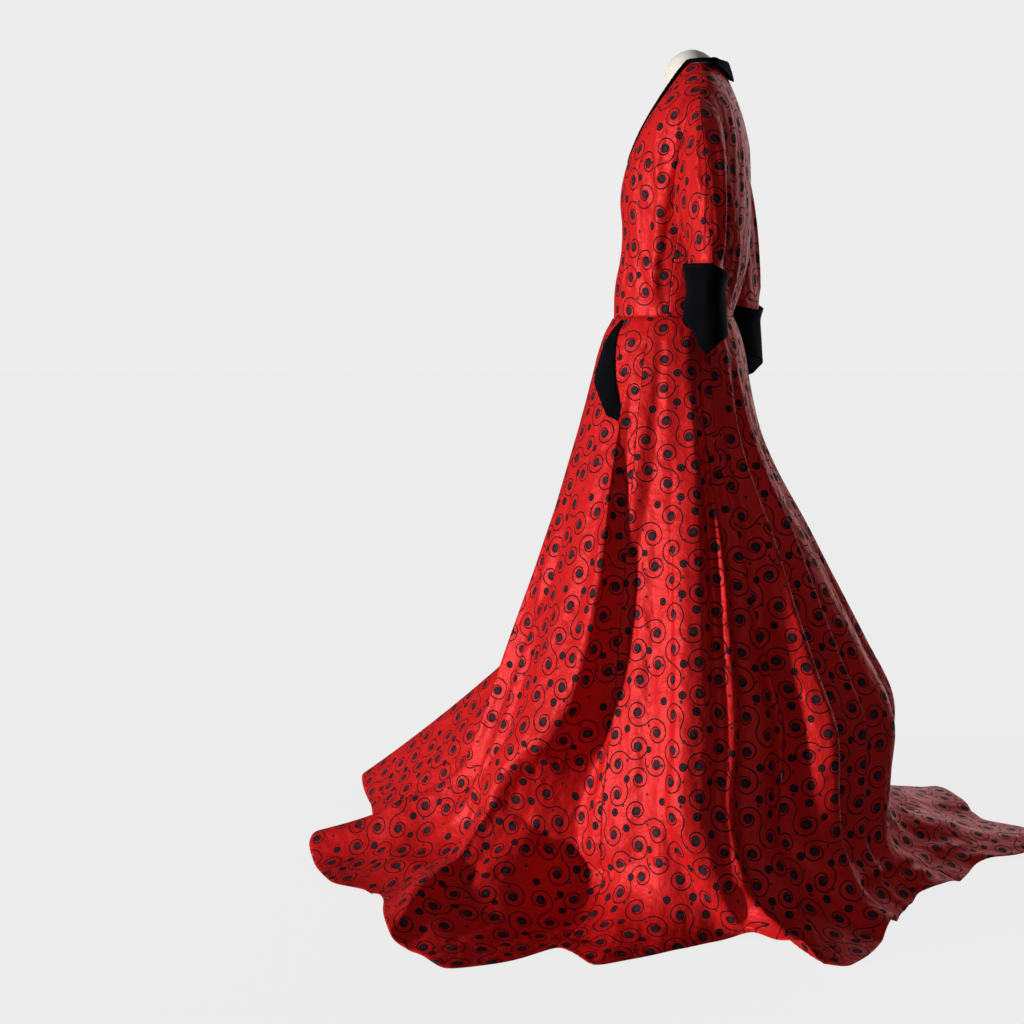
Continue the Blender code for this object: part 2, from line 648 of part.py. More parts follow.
def share_between(share, low, high):
    """How far a share lies between two others, from 0 to 1."""
    return np.clip((share - low) / (high - low), 0.0, 1.0)


def build_collar(velvet):
    """Velvet collar: a narrow turned edge down the V, a soft roll at the nape."""
    angle, height, share = neckline_path()
    edge = figure(angle, height)
    along = np.gradient(edge, axis=0)
    along /= np.linalg.norm(along, axis=-1, keepdims=True)
    away = normal_of(figure, angle, np.minimum(height, NECK_EDGE_Z - 2 * STEP))
    up = np.cross(away, along)
    up *= np.sign(up[:, 2:3])
    upright = share_between(share, *COLLAR_UPRIGHT)[:, None]
    rise_way = up * (1.0 - upright) - HANG_DOWN * upright
    rise_way /= np.linalg.norm(rise_way, axis=-1, keepdims=True)
    leaf, roll, fall, stand = [np.interp(share, COLLAR[:, 0], COLLAR[:, k]) * MM
                               for k in (1, 2, 3, 4)]
    half = 0.5 * VELVET
    *clear_shares, clear_most = COLLAR_CLEAR
    clear = WALL + SEAM_GAP + half + clear_most * share_between(share, *clear_shares)
    lines = []
    for leaf_share, roll_share, off, clear_share, stand_share in RAISED_LINES:
        rise = SEAM_GAP + half + leaf * leaf_share + roll * roll_share
        lift = BODY_GAP + off * MM + clear * clear_share + stand * stand_share
        lines.append(edge + rise_way * rise[:, None] + away * lift[:, None])
    for fall_share, off, stand_share in FALLEN_LINES:
        step_angle, step_height = surface_step(angle, height, -up, fall * fall_share)
        lift = BODY_GAP + off * MM + clear + stand * stand_share
        if fall_share == 1.0:
            lift = lift + NAPE_EDGE_STAND * upright[:, 0]
        out = normal_of(figure, step_angle, step_height)
        lines.append(figure(step_angle, step_height) + out * lift[:, None])
    lines = np.stack(lines)
    flow = np.gradient(lines, axis=0)
    side = np.cross(flow, np.broadcast_to(along, lines.shape))
    side /= np.linalg.norm(side, axis=-1, keepdims=True)
    sides = []
    for one in (lines + side * half, lines - side * half):
        sides.append(np.concatenate((one, mirrored(one[:, ::-1])[:, 1:]), axis=1))
    paint(solid_from_grids("collar", *sides), velvet)


# Gores: name and the angles of the two seams, which lie in the valleys.
GORES = (
    ("skirt_front_left", -90.0, -15.0), ("skirt_side_left", -15.0, 37.0),
    ("skirt_back_left", 37.0, 88.0), ("skirt_back_right", 88.0, 147.0),
    ("skirt_side_right", 147.0, 209.0), ("skirt_front_right", 209.0, 270.0),
)
GORE_COLUMN = 4.6        # degrees between two columns of points
GORE_SEAM = 0.06         # degrees left free on each side of a gore's seam
ROW_REACH = 0.02         # rows over which the wall's direction is evened out
SKIRT_ROWS = np.concatenate((
    (0.0, 0.025, 0.06, 0.11, 0.17), np.linspace(0.25, 0.73, 7),
    (0.80, 0.84, 0.88, 0.92, 0.96, 1.0),
))


def skirt_sides(angle, row, seams):
    """Outer and inner side of a gore; both gores at a seam share one direction."""
    outer = skirt(angle, row)
    facing = angle.copy()
    facing[:, 0], facing[:, -1] = seams
    within = np.clip(row, ROW_REACH, 1.0 - ROW_REACH)
    away = normal_of(skirt, facing, within, -1.0, (0.5 * GORE_COLUMN, ROW_REACH))
    inner = outer - away * WALL
    inner[..., 2] = np.where(row == 0.0, outer[..., 2], inner[..., 2])
    inner[..., 2] = np.maximum(inner[..., 2], FLOOR_GAP)
    return outer, inner


def build_skirt(cloth):
    """Six gores from the waist seam to the floor."""
    for name, first, last in GORES:
        count = round((last - first) / GORE_COLUMN) + 1
        turn, row = np.meshgrid(np.linspace(first + GORE_SEAM, last - GORE_SEAM, count),
                                SKIRT_ROWS)
        outer, inner = skirt_sides(turn, row, (first, last))
        paint(solid_from_grids(name, outer, inner), cloth)


# Pocket: share of its depth, middle angle, half width in degrees.
POCKET = np.array((
    (0.00, -45.0, 1.0), (0.12, -48.2, 5.2), (0.30, -50.0, 9.0), (0.50, -49.2, 11.8),
    (0.64, -47.5, 13.2), (0.80, -39.0, 9.0), (0.90, -34.5, 7.0), (1.00, -31.5, 3.4),
))
POCKET_TOP, POCKET_LOW = 0.004, 0.158
POCKET_ROWS, POCKET_COLUMNS = 10, 7
POCKET_STAND = 0.9 * MM


def build_pockets(velvet):
    """Leaf-shaped velvet pockets that lie on the two front gores."""
    share, side = np.meshgrid(np.linspace(0.0, 1.0, POCKET_ROWS),
                              np.linspace(-1.0, 1.0, POCKET_COLUMNS), indexing="ij")
    row = POCKET_TOP + (POCKET_LOW - POCKET_TOP) * share
    middle = np.interp(share, POCKET[:, 0], POCKET[:, 1])
    half = np.interp(share, POCKET[:, 0], POCKET[:, 2])
    left = middle + half * side
    for name, angle in (("pocket_left", left), ("pocket_right", 180.0 - left)):
        base = skirt(angle, row)
        away = normal_of(skirt, angle, row, -1.0)
        low = base + away * POCKET_STAND
        high = base + away * (POCKET_STAND + VELVET)
        paint(solid_from_grids(name, high, low), velvet)


# Form: rounding of its lower rim as shares of the section and drops, and its stand.
FORM_ROUNDING = ((0.93, 0.012), (0.80, 0.020))
FORM_BOTTOM_Z = 0.705
FORM_WAIST_Z = 0.91      # rows of the form below this are evenly spaced
FORM_LOWER_ROWS = 5
FORM_COLUMNS = 32
THROAT_LOW_Z = 1.24      # height from which the neck stands out of the figure
THROAT_BLEND = 0.02      # softness of the line where it does
POLE_RADIUS = 0.016
POLE_SIDES = 24
POLE_SHARP = 40.0        # degrees above which an edge of the pole stays sharp
BASE_RADIUS = 0.170
BASE_HEIGHT = 0.020
BASE_SIDES = 32


def with_throat(ring):
    """Push a section's points out to the neck where the neck stands out of it."""
    half_width, half_depth, middle = THROAT
    centre = np.array((0.0, middle, 0.0))
    off = ring - centre
    ratio = 1.0 / np.hypot(off[:, 0] / half_width, off[:, 1] / half_depth)
    grown = 1.0 + THROAT_BLEND * np.logaddexp(0.0, (ratio - 1.0) / THROAT_BLEND)
    off[:, :2] *= grown[:, None]
    return off + centre


def build_form(cover):
    """Limbless dress form: the torso with its neck. Returns its lowest height."""
    count = FORM_COLUMNS
    angle = np.linspace(0.0, FULL_TURN, count, endpoint=False)
    heights = np.concatenate((np.linspace(FORM_BOTTOM_Z, FORM_WAIST_Z, FORM_LOWER_ROWS),
                              BODICE_ROWS))
    rings = []
    for height in heights:
        level = np.full(count, height)
        ring = figure(angle, level)
        away = normal_of(figure, angle, level) * FORM_SHRINK
        away[:, 2] = 0.0
        ring = ring - away
        rings.append(with_throat(ring) if height > THROAT_LOW_Z else ring)
    for height, *_ in NECK:
        rings.append(ring_point(NECK, angle, np.full(count, height), column))
    low = rings[0].copy()
    for share, drop in FORM_ROUNDING:
        ring = low * np.array((share, share, 1.0))
        ring[:, 2] -= drop
        rings.insert(0, ring)
    points = np.concatenate(rings)
    faces = []
    for i in range(len(rings) - 1):
        for j in range(count):
            k = (j + 1) % count
            low_row, high_row = i * count, (i + 1) * count
            faces.append((low_row + j, low_row + k, high_row + k, high_row + j))
    faces.append(tuple(reversed(range(count))))
    last = (len(rings) - 1) * count
    faces.append(tuple(range(last, last + count)))
    paint(add_object("form_torso", points, faces), cover)
    return float(low[0, 2]) - FORM_ROUNDING[-1][1]


def build_pole(bottom, finish):
    """Pole between the base and the form, a plain cylinder."""
    low, high = BASE_HEIGHT + SEAM_GAP, bottom - SEAM_GAP
    made = bmesh.new()
    bmesh.ops.create_cone(made, cap_ends=True, segments=POLE_SIDES,
                          radius1=POLE_RADIUS, radius2=POLE_RADIUS, depth=high - low)
    mesh = bpy.data.meshes.new("form_pole")
    made.to_mesh(mesh)
    made.free()
    mesh.shade_smooth()
    mesh.set_sharp_from_angle(angle=math.radians(POLE_SHARP))
    pole = bpy.data.objects.new("form_pole", mesh)
    pole.location.z = 0.5 * (low + high)
    bpy.data.collections[COLLECTION].objects.link(pole)
    paint(pole, finish)


def build_base(finish):
    """Round base that stands on the floor, turned from its half section."""
    outline = (
        (0.0, BASE_HEIGHT), (BASE_RADIUS * 0.24, BASE_HEIGHT),
        (BASE_RADIUS - 7.0 * MM, BASE_HEIGHT - 2.0 * MM), (BASE_RADIUS, BASE_HEIGHT - 8.0 * MM),
        (BASE_RADIUS, 4.0 * MM), (BASE_RADIUS - 5.0 * MM, 0.0), (0.0, 0.0),
    )
    mesh = bpy.data.meshes.new("form_base")
    mesh.from_pydata([(radius, 0.0, height) for radius, height in outline],
                     [(i, i + 1) for i in range(len(outline) - 1)], [])
    base = bpy.data.objects.new("form_base", mesh)
    bpy.data.collections[COLLECTION].objects.link(base)
    turn = base.modifiers.new("Turn", "SCREW")
    turn.steps = turn.render_steps = BASE_SIDES
    turn.use_merge_vertices = True
    turn.merge_threshold = STEP
    paint(base, finish)


def main():
    """Clear the scene and build every solid."""
    for thing in list(bpy.data.objects):
        bpy.data.objects.remove(thing, do_unlink=True)
    bpy.context.scene.collection.children.link(bpy.data.collections.new(COLLECTION))
    cloth = material("red_satin", (0.55, 0.02, 0.02), 0.45)
    velvet = material("black_velvet", (0.012, 0.012, 0.02), 0.9)
    cover = material("form_cover", (0.75, 0.70, 0.60), 0.8)
    metal = material("form_stand_paint", (0.05, 0.05, 0.05), 0.5)
    form_bottom = build_form(cover)
    build_pole(form_bottom, metal)
    build_base(metal)
    build_bodice(cloth)
    build_sleeves(cloth, velvet)
    build_collar(velvet)
    build_skirt(cloth)
    build_pockets(velvet)


main()
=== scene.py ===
"""Hostess gown of red scroll satin with velvet trims, on a limbless dress form.

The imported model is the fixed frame: metres, +Z up, the gown's front faces -Y
and the wearer's left is +X. Angles run round the body in degrees: -90 is
centre front, 0 the wearer's left, 90 centre back. The cloth follows the same
sections, folds and hem as its solids, with the finer creases added.
"""
import logging
import math
from dataclasses import dataclass
from enum import Enum
from functools import partial, reduce
from operator import or_
from typing import Any, Callable

import bmesh
import bpy
import numpy as np
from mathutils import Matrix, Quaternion, Vector


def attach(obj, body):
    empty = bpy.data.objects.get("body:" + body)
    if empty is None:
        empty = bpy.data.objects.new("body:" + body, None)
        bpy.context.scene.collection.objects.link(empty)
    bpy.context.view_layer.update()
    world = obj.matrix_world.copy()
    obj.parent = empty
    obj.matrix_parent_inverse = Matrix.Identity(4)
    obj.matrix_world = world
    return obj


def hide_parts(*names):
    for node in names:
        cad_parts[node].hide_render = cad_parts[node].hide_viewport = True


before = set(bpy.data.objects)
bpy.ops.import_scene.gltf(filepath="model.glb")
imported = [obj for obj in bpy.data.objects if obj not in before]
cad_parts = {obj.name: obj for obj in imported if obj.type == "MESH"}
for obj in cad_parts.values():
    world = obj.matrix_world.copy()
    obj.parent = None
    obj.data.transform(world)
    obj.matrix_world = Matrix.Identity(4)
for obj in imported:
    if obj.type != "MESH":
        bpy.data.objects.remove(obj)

Array = np.ndarray
Surface = Callable[[Array, Array], Array]
Pair = tuple[float, float]
Triple = tuple[float, float, float]
Colour = tuple[float, float, float, float]
Material = bpy.types.Material
Thing = bpy.types.Object
Tree = bpy.types.NodeTree
Node = bpy.types.Node
Socket = bpy.types.NodeSocket
LOG = logging.getLogger("hostess_gown")

MM = 0.001
FULL_TURN = 360.0
HALF_TURN = 180.0
BODY = "root"
UV_NAME = "cut"

WALL = 2.0 * MM          # thickness of the solids' satin, kept free here too
CLOTH = 1.1 * MM         # thickness of the satin that shows
VELVET = 2.5 * MM        # thickness of the velvet
SEAM_GAP = 0.3 * MM      # room between two pieces that are sewn together
BODY_GAP = 1.5 * MM      # room between the figure and the cloth on it

WAIST_Z = 0.950
SHOULDER_Z = 1.292
UNDERARM_Z = 1.100
V_POINT_Z = 1.200
NECK_EDGE_Z = 1.360


class Side(Enum):
    """Which side of the wearer a piece belongs to."""

    LEFT = "left"
    RIGHT = "right"


class Slot(Enum):
    """The record's material slots."""

    SATIN = "red_satin"
    VELVET = "black_velvet"
    COVER = "form_cover"
    STAND = "form_stand"


def smooth_read(table: Array, key: Array, index: int) -> Array:
    """Read one column of a table on a smooth curve through its rows.

    Args:
        table: rows whose first value rises.
        key: values looked up in the first column.
        index: number of the column that is read.

    Returns:
        The values, held still beyond the first and last row.
    """
    knots, values = table[:, 0], table[:, index]
    slopes = np.gradient(values, knots)
    at = np.clip(key, knots[0], knots[-1])
    low = np.clip(np.searchsorted(knots, at, side="right") - 1, 0, len(knots) - 2)
    width = knots[low + 1] - knots[low]
    step = (at - knots[low]) / width
    rise = 3.0 * step ** 2 - 2.0 * step ** 3
    leave = step ** 3 - 2.0 * step ** 2 + step
    arrive = step ** 3 - step ** 2
    return (values[low] * (1.0 - rise) + values[low + 1] * rise
            + width * (slopes[low] * leave + slopes[low + 1] * arrive))


def ramp(value: Array, low: float, high: float) -> Array:
    """0 up to the low value, 1 from the high one, and straight between them."""
    return np.clip((value - low) / (high - low), 0.0, 1.0)


def short_way(degrees: Array) -> Array:
    """The same turn the short way round, from -180 to 180 degrees."""
    return np.mod(degrees + HALF_TURN, FULL_TURN) - HALF_TURN


def unit(vectors: Array) -> Array:
    """Scale vectors to length one; one of no length stays as it is."""
    return vectors / np.maximum(np.linalg.norm(vectors, axis=-1, keepdims=True), 1e-9)


def grid_normals(points: Array, sign: float) -> Array:
    """Unit normals of a grid of points, from its neighbouring rows and columns.

    Args:
        points: rows by columns by 3.
        sign: 1 for rows that run up a body, -1 for rows that run down it.

    Returns:
        Normals that point away from the body.
    """
    return sign * unit(np.cross(np.gradient(points, axis=1), np.gradient(points, axis=0)))


def surface_normals(surface: Surface, first: Array, second: Array, sign: float) -> Array:
    """Unit normals of a surface function, by small differences each way.

    Args:
        surface: gives points for angles and for heights or rows.
        first: angles in degrees.
        second: heights or rows.
        sign: 1 where the second value runs up a body, -1 where it runs down.

    Returns:
        Normals that point away from the body.
    """
    turn, step = 0.05, 2e-4
    along = surface(first + turn, second) - surface(first - turn, second)
    down = surface(first, second + step) - surface(first, second - step)
    return sign * unit(np.cross(along, down))


def mirrored(points: Array) -> Array:
    """The same points on the other side of the body."""
    return points * np.array((-1.0, 1.0, 1.0))


def on_side(points: Array, side: Side) -> Array:
    """Points of a left piece, brought to their own side."""
    return points if side is Side.LEFT else mirrored(points)


@dataclass(frozen=True)
class Rings:
    """Body sections: height, half width, front, back and y of the widest points."""

    rows: Array

    def point(self, angle: Array, height: Array) -> Array:
        """Point of a section, which is two half ellipses joined at the sides.

        Args:
            angle: degrees round the body.
            height: metres above the floor.

        Returns:
            Points in metres.
        """
        turn = np.radians(angle)
        middle = smooth_read(self.rows, height, 4)
        front = middle - smooth_read(self.rows, height, 2)
        back = smooth_read(self.rows, height, 3) - middle
        across = np.sin(turn)
        depth = np.where(across < 0.0, front, back) * across + middle
        side = smooth_read(self.rows, height, 1) * np.cos(turn)
        return np.stack(np.broadcast_arrays(side, depth, height), axis=-1)


# The figure under the gown.
FIGURE = Rings(np.array((
    (0.700, 0.148, -0.112, 0.104, 0),
    (0.780, 0.146, -0.112, 0.101, 0),
    (0.860, 0.136, -0.108, 0.095, 0),
    (0.950, 0.118, -0.107, 0.087, 0),
    (1.000, 0.123, -0.104, 0.100, 0.004),
    (1.050, 0.131, -0.095, 0.112, 0.011),
    (1.100, 0.142, -0.092, 0.116, 0.020),
    (1.150, 0.153, -0.095, 0.115, 0.030),
    (1.200, 0.161, -0.085, 0.113, 0.039),
    (1.240, 0.165, -0.068, 0.110, 0.046),
    (1.265, 0.164, -0.055, 0.105, 0.049),
    (1.285, 0.156, -0.042, 0.100, 0.051),
    (1.305, 0.137, -0.028, 0.093, 0.052),
    (1.325, 0.111, -0.016, 0.085, 0.051),
    (1.345, 0.080, -0.009, 0.076, 0.047),
    (1.360, 0.059, -0.008, 0.069, 0.038),
)))
# Top of the form's neck above the gown.
NECK = Rings(np.array((
    (1.350, 0.0580, -0.0250, 0.0680, 0.024),
    (1.360, 0.0570, -0.0245, 0.0670, 0.023),
    (1.367, 0.0510, -0.0200, 0.0600, 0.020),
    (1.375, 0.0470, -0.0165, 0.0555, 0.020),
    (1.382, 0.0400, -0.0095, 0.0490, 0.020),
    (1.388, 0.0300, -0.0005, 0.0405, 0.020),
    (1.392, 0.0160, 0.0090, 0.0310, 0.020),
)))
# The skirt as it hangs, without its folds.
HANG = Rings(np.array((
    (0.100, 0.355, -0.366, 0.350, 0),
    (0.200, 0.342, -0.345, 0.358, 0),
    (0.300, 0.318, -0.312, 0.360, 0),
    (0.400, 0.292, -0.280, 0.312, 0),
    (0.500, 0.264, -0.247, 0.261, 0),
    (0.600, 0.236, -0.219, 0.213, 0),
    (0.700, 0.206, -0.190, 0.162, 0),
    (0.750, 0.191, -0.175, 0.142, 0),
    (0.800, 0.177, -0.161, 0.129, 0),
    (0.850, 0.163, -0.148, 0.119, 0),
    (0.900, 0.148, -0.135, 0.110, 0),
    (0.925, 0.139, -0.126, 0.103, 0),
    (0.950, 0.1235, -0.1125, 0.0925, 0),
)))
# Spread on the floor: angle, height of the break, reach of the hem, sharpness of the
# bend, and how far the skirt is drawn in at the break, in millimetres.
HEM = np.array((
    (-115, 0.360, 0.770, 0.05, 0), (-104, 0.340, 0.645, 0.15, 0), (-97, 0.270, 0.595, 0.40, 0),
    (-90, 0.220, 0.585, 0.40, 0), (-84, 0.200, 0.625, 0.35, 0), (-78, 0.180, 0.654, 0.45, 0),
    (-72, 0.160, 0.636, 0.55, 0), (-64, 0.150, 0.610, 0.65, 0), (-60, 0.140, 0.562, 0.70, 0),
    (-54, 0.140, 0.548, 0.75, 0), (-48, 0.140, 0.560, 0.60, 0), (-42, 0.145, 0.588, 0.30, 0),
    (-36, 0.140, 0.620, 0.15, 5), (-31, 0.115, 0.606, 0.35, 20), (-25, 0.080, 0.622, 0.80, 38),
    (-19, 0.070, 0.545, 0.90, 44), (-15, 0.070, 0.462, 0.90, 42), (-11, 0.080, 0.472, 0.90, 36),
    (-6, 0.095, 0.506, 0.85, 26), (-1, 0.110, 0.470, 0.80, 16), (7, 0.130, 0.424, 0.70, 3),
    (15, 0.140, 0.394, 0.60, 0), (24, 0.140, 0.372, 0.65, 0), (28, 0.140, 0.470, 0.70, 0),
    (31, 0.130, 0.484, 0.75, 0), (36, 0.130, 0.524, 0.80, 0), (42, 0.130, 0.504, 0.75, 0),
    (51, 0.130, 0.466, 0.75, 0), (63, 0.130, 0.432, 0.75, 0), (74, 0.130, 0.428, 0.80, 0),
    (80, 0.130, 0.464, 0.80, 0), (90, 0.130, 0.492, 0.85, 0), (96, 0.130, 0.512, 0.85, 0),
    (100, 0.130, 0.568, 0.85, 0), (107, 0.140, 0.690, 0.85, 0), (113, 0.140, 0.705, 0.85, 0),
    (121, 0.150, 0.630, 0.80, 0), (130, 0.150, 0.655, 0.80, 0), (139, 0.150, 0.686, 0.80, 0),
    (150, 0.140, 0.580, 0.75, 0), (180, 0.130, 0.520, 0.75, 0), (205, 0.130, 0.545, 0.75, 0),
    (228, 0.200, 0.640, 0.50, 0), (245, 0.360, 0.770, 0.05, 0),
))
# Rows of the skirt at which a fold's angle is given, and the rows over which it ends.
STATIONS = (0.0, 0.2, 0.4, 0.55, 0.65, 0.75, 0.85, 1.0)
FOLD_FADE = 0.1


@dataclass(frozen=True)
class Fold:
    """A long fold of the skirt.

    Its angle is given at each of STATIONS. It begins at the row start, is full
    after growth more rows and is gone at the row end. The peak is in
    millimetres, a ridge above zero and a valley below, the widths before and
    after the line are in degrees, and the crest leans on by some millimetres.
    """

    track: tuple[float, ...]
    start: float
    peak: float
    before: float
    after: float
    lean: float = 0.0
    growth: float = 0.55
    end: float = 2.0

    def profile(self, angle: Array, row: Array) -> Array:
        """Share of the fold's height at points of the skirt.

        Args:
            angle: degrees round the body.
            row: share of the way from the waist seam to the hem.

        Returns:
            Shares from 0 to 1.
        """
        stations = np.stack((np.array(STATIONS), np.array(self.track, float)), axis=1)
        line = smooth_read(stations, row, 1)
        off = short_way(angle - line)
        width = np.where(off < 0.0, self.before, self.after)
        grown = np.clip((row - self.start) / self.growth, 0.0, 1.0)
        ended = np.clip((self.end - row) / FOLD_FADE, 0.0, 1.0)
        return grown * ended * np.exp(-(off / width) ** 2)


@dataclass(frozen=True)
class Ripple:
    """A soft ridge or trough across the skirt, given by its angles and rows.

    The peak is in millimetres, the widths above and below the line are in rows,
    and it fades out over some degrees beyond its first and last angle.
    """

    angles: tuple[float, ...]
    rows: tuple[float, ...]
    peak: float
    above: float
    below: float
    fade: float = 5.0

    def profile(self, angle: Array, row: Array) -> Array:
        """Share of the ripple's height at points of the skirt.

        Args:
            angle: degrees round the body.
            row: share of the way from the waist seam to the hem.

        Returns:
            Shares from 0 to 1.
        """
        line = np.interp(angle, self.angles, self.rows)
        off = row - line
        width = np.where(off < 0.0, self.above, self.below)
        inside = np.minimum(angle - self.angles[0], self.angles[-1] - angle) / self.fade + 1.0
        ends = np.clip(inside, 0.0, 1.0)
        return ends * ends * (3.0 - 2.0 * ends) * np.exp(-(off / width) ** 2)


# The folds that the solids have.
MAIN_FOLDS = (
    Fold((-30, -29, -24, -27, -33, -42, -46, -40), 0.08, 34, 15, 5),
    Fold((-5, -6, -11, -14, -20, -26, -25, -16), 0.10, -28, 6, 15),
    Fold((-70, -70, -71, -72, -72, -73, -76, -82), 0.30, 18, 7, 6),
    Fold((-50, -50, -51, -52, -52, -56, -62, -66), 0.35, -20, 6, 7),
    Fold((-34, -34, -34, -35, -38, -54, -70, -82), 0.62, 30, 7, 6),
    Fold((12, 12, 12, 11, 10, 11, 17, 27), 0.20, 26, 4, 9),
    Fold((38, 38, 37, 36, 36, 37, 41, 44), 0.10, -28, 6, 5),
    Fold((44, 43, 42, 42, 42, 43, 46, 51), 0.08, 25, 5.5, 8),
    Fold((58, 58, 60, 61, 61, 61, 63, 64), 0.15, -14, 6, 6),
    Fold((70, 71, 73, 74, 74, 74, 76, 80), 0.12, 23, 8, 5),
    Fold((84, 85, 87, 88, 88, 88, 88, 89), 0.15, -14, 6, 6),
    Fold((98, 99, 100, 101, 102, 103, 106, 109), 0.20, 14, 7, 7),
    Fold((114, 115, 117, 118, 119, 119, 120, 121), 0.20, -16, 6, 6),
    Fold((130, 131, 132, 133, 133, 133, 134, 134), 0.20, 18, 7, 7),
    Fold((145, 146, 147, 147, 147, 147, 147, 147), 0.20, -16, 7, 7),
    Fold((162,) * 8, 0.20, 20, 8, 8),
    Fold((180,) * 8, 0.20, -18, 8, 8),
    Fold((198, 198, 198, 199, 199, 200, 201, 203), 0.20, 20, 8, 8),
    Fold((214, 214, 214, 214, 215, 216, 218, 220), 0.20, -18, 7, 7),
    Fold((230, 231, 233, 236, 239, 241, 243, 245), 0.25, 22, 8, 8),
    Fold((262, 262, 262, 261, 261, 261, 261, 261), 0.30, -18, 7, 6),
)
# Finer creases on them, and similar ones on the sides that the photograph hides.
FINE_FOLDS = (
    Fold((-70, -70, -70.5, -71, -71.5, -72, -76, -80), 0.28, 7, 1.8, 2.2, 2, 0.2),
    Fold((-50, -51, -54, -63, -66.5, -67, -69, -72), 0.28, -11, 3.5, 4, 0, 0.2),
    Fold((-82, -82, -83, -84, -85, -86, -90, -94), 0.35, 9, 3, 3, 0, 0.3),
    Fold((-58, -58, -57, -56, -56, -60, -66, -72), 0.45, 9, 2.6, 2.6, 3, 0.3),
    Fold((-46, -46, -45, -45, -47, -56, -61, -60), 0.50, -9, 2.6, 3, 0, 0.2),
    Fold((-61, -61, -61, -58, -58, -60, -63, -60), 0.10, 5, 3, 4, 0, 0.3, 0.7),
    Fold((-29, -26.5, -22, -25, -31, -40, -45.5, -37), 0.10, 10, 6, 1.7, 9, 0.15),
    Fold((-22, -20, -15.5, -18, -24, -33, -39, -30), 0.10, -11, 2.5, 6, 0, 0.15),
    Fold((-30, -29, -28, -30, -34, -41, -46, -40), 0.03, -7, 4, 3, 0, 0.12, 0.55),
    Fold((-40, -40, -39, -40, -43, -50, -54, -50), 0.30, 4, 2.5, 3.5, 0, 0.2),
    Fold((-4, -3, -1, -1, -1, -2, -3, -2), 0.15, -6, 4, 4, 0, 0.3),
    Fold((2, 3, 4, 3.5, 3, 3, 5, 8), 0.30, 7, 2.4, 3, 0, 0.3, 0.9),
    Fold((-12, -12, -14, -15, -16, -18, -18, -14), 0.25, 6, 2.2, 2.6, 0, 0.3, 0.9),
    Fold((9, 9, 8.5, 8, 7.5, 7.5, 14.5, 26), 0.22, 7, 1.9, 4, -7, 0.2),
    Fold((17, 20, 15.5, 13.5, 13.5, 13.5, 20, 28), 0.02, 9, 6, 4, 0, 0.15),
    Fold((-4, -5, -10, -14, -20, -26, -25, -16), 0, -6, 4, 4, 0, 0.10),
    Fold((24, 24, 21, 18, 17, 17, 21, 27), 0.02, -9, 2, 1.8, 0, 0.2),
    Fold((29, 27, 24, 21.5, 20, 19.5, 23, 30), 0.16, 13, 2.2, 1.8, 3, 0.2),
    Fold((28, 31, 30, 26.5, 24.5, 24, 27, 34), 0.01, -19, 2.6, 4.2, 0, 0.25),
    Fold((44, 44, 41, 37.5, 37.5, 40, 45, 48), 0.12, -15, 3.6, 2.4, 0, 0.2),
    Fold((54, 52, 49, 47, 47, 49, 53, 56), 0.03, 15, 3.2, 2.2, -3, 0.3),
    Fold((60, 58, 54, 52, 52, 54, 58, 60), 0.03, -10, 2.2, 2.6, 0, 0.3),
    Fold((66, 65, 63, 62, 62, 63, 65, 67), 0.05, 14, 3.6, 2.2, 2, 0.3),
    Fold((80, 80, 81, 82, 82, 82, 84, 86), 0.10, 11, 3.6, 2.6, 0, 0.3),
    Fold((92, 92, 94, 95, 95, 95, 96, 98), 0.15, 9, 3.2, 2.8, 3, 0.3),
    Fold((106, 107, 108, 109, 110, 111, 112, 114), 0.20, -6, 2.4, 3, 0, 0.3),
    Fold((123, 123, 124, 125, 126, 126, 127, 128), 0.22, 7, 2.2, 2.6, -3, 0.3),
    Fold((138, 138, 139, 140, 140, 140, 141, 142), 0.18, -5, 2.8, 2.4, 0, 0.3),
    Fold((153, 154, 154, 155, 155, 155, 156, 157), 0.26, 6, 2.4, 3.2, 3, 0.3),
    Fold((170, 170, 171, 171, 171, 171, 172, 172), 0.20, -7, 3, 2.6, 0, 0.3),
    Fold((188, 188, 189, 189, 190, 190, 191, 192), 0.24, 6, 2.6, 2.4, -3, 0.3),
    Fold((206, 206, 207, 207, 208, 209, 210, 211), 0.20, -6, 2.4, 3, 0, 0.3),
    Fold((222, 222, 223, 225, 227, 229, 231, 233), 0.22, 7, 2.2, 2.8, 3, 0.3),
    Fold((238, 239, 242, 246, 249, 251, 253, 255), 0.28, -6, 3, 2.4, 0, 0.3),
    Fold((252, 252, 252, 253, 254, 255, 257, 259), 0.20, 6, 3, 3, 0, 0.3),
)
# Ripples on the floor and at the break.
RIPPLES = (
    Ripple((22, 32, 43, 50), (0.842, 0.846, 0.853, 0.85), 7, 0.05, 0.018),
    Ripple((-20, -8, 4), (0.95, 0.93, 0.94), 3, 0.02, 0.02),
    Ripple((-14, 0, 12), (0.985, 0.965, 0.975), 3, 0.015, 0.015),
    Ripple((-62, -48, -34), (0.93, 0.95, 0.965), 8, 0.035, 0.02),
    Ripple((-50, -38, -30), (0.885, 0.90, 0.93), -7, 0.02, 0.025, 3),
    Ripple((-80, -70, -60), (0.90, 0.93, 0.96), 7, 0.025, 0.02),
    Ripple((58, 76, 92, 100), (0.88, 0.90, 0.935, 0.955), 12, 0.03, 0.016),
    Ripple((70, 84, 98), (0.94, 0.955, 0.985), 7, 0.02, 0.015),
    Ripple((104, 112, 124), (0.91, 0.925, 0.93), 11, 0.03, 0.018),
    Ripple((118, 130, 146), (0.955, 0.94, 0.955), 9, 0.025, 0.02),
    Ripple((150, 170, 190), (0.90, 0.92, 0.90), 7, 0.03, 0.02),
    Ripple((186, 204, 226), (0.94, 0.925, 0.95), 8, 0.03, 0.02),
)


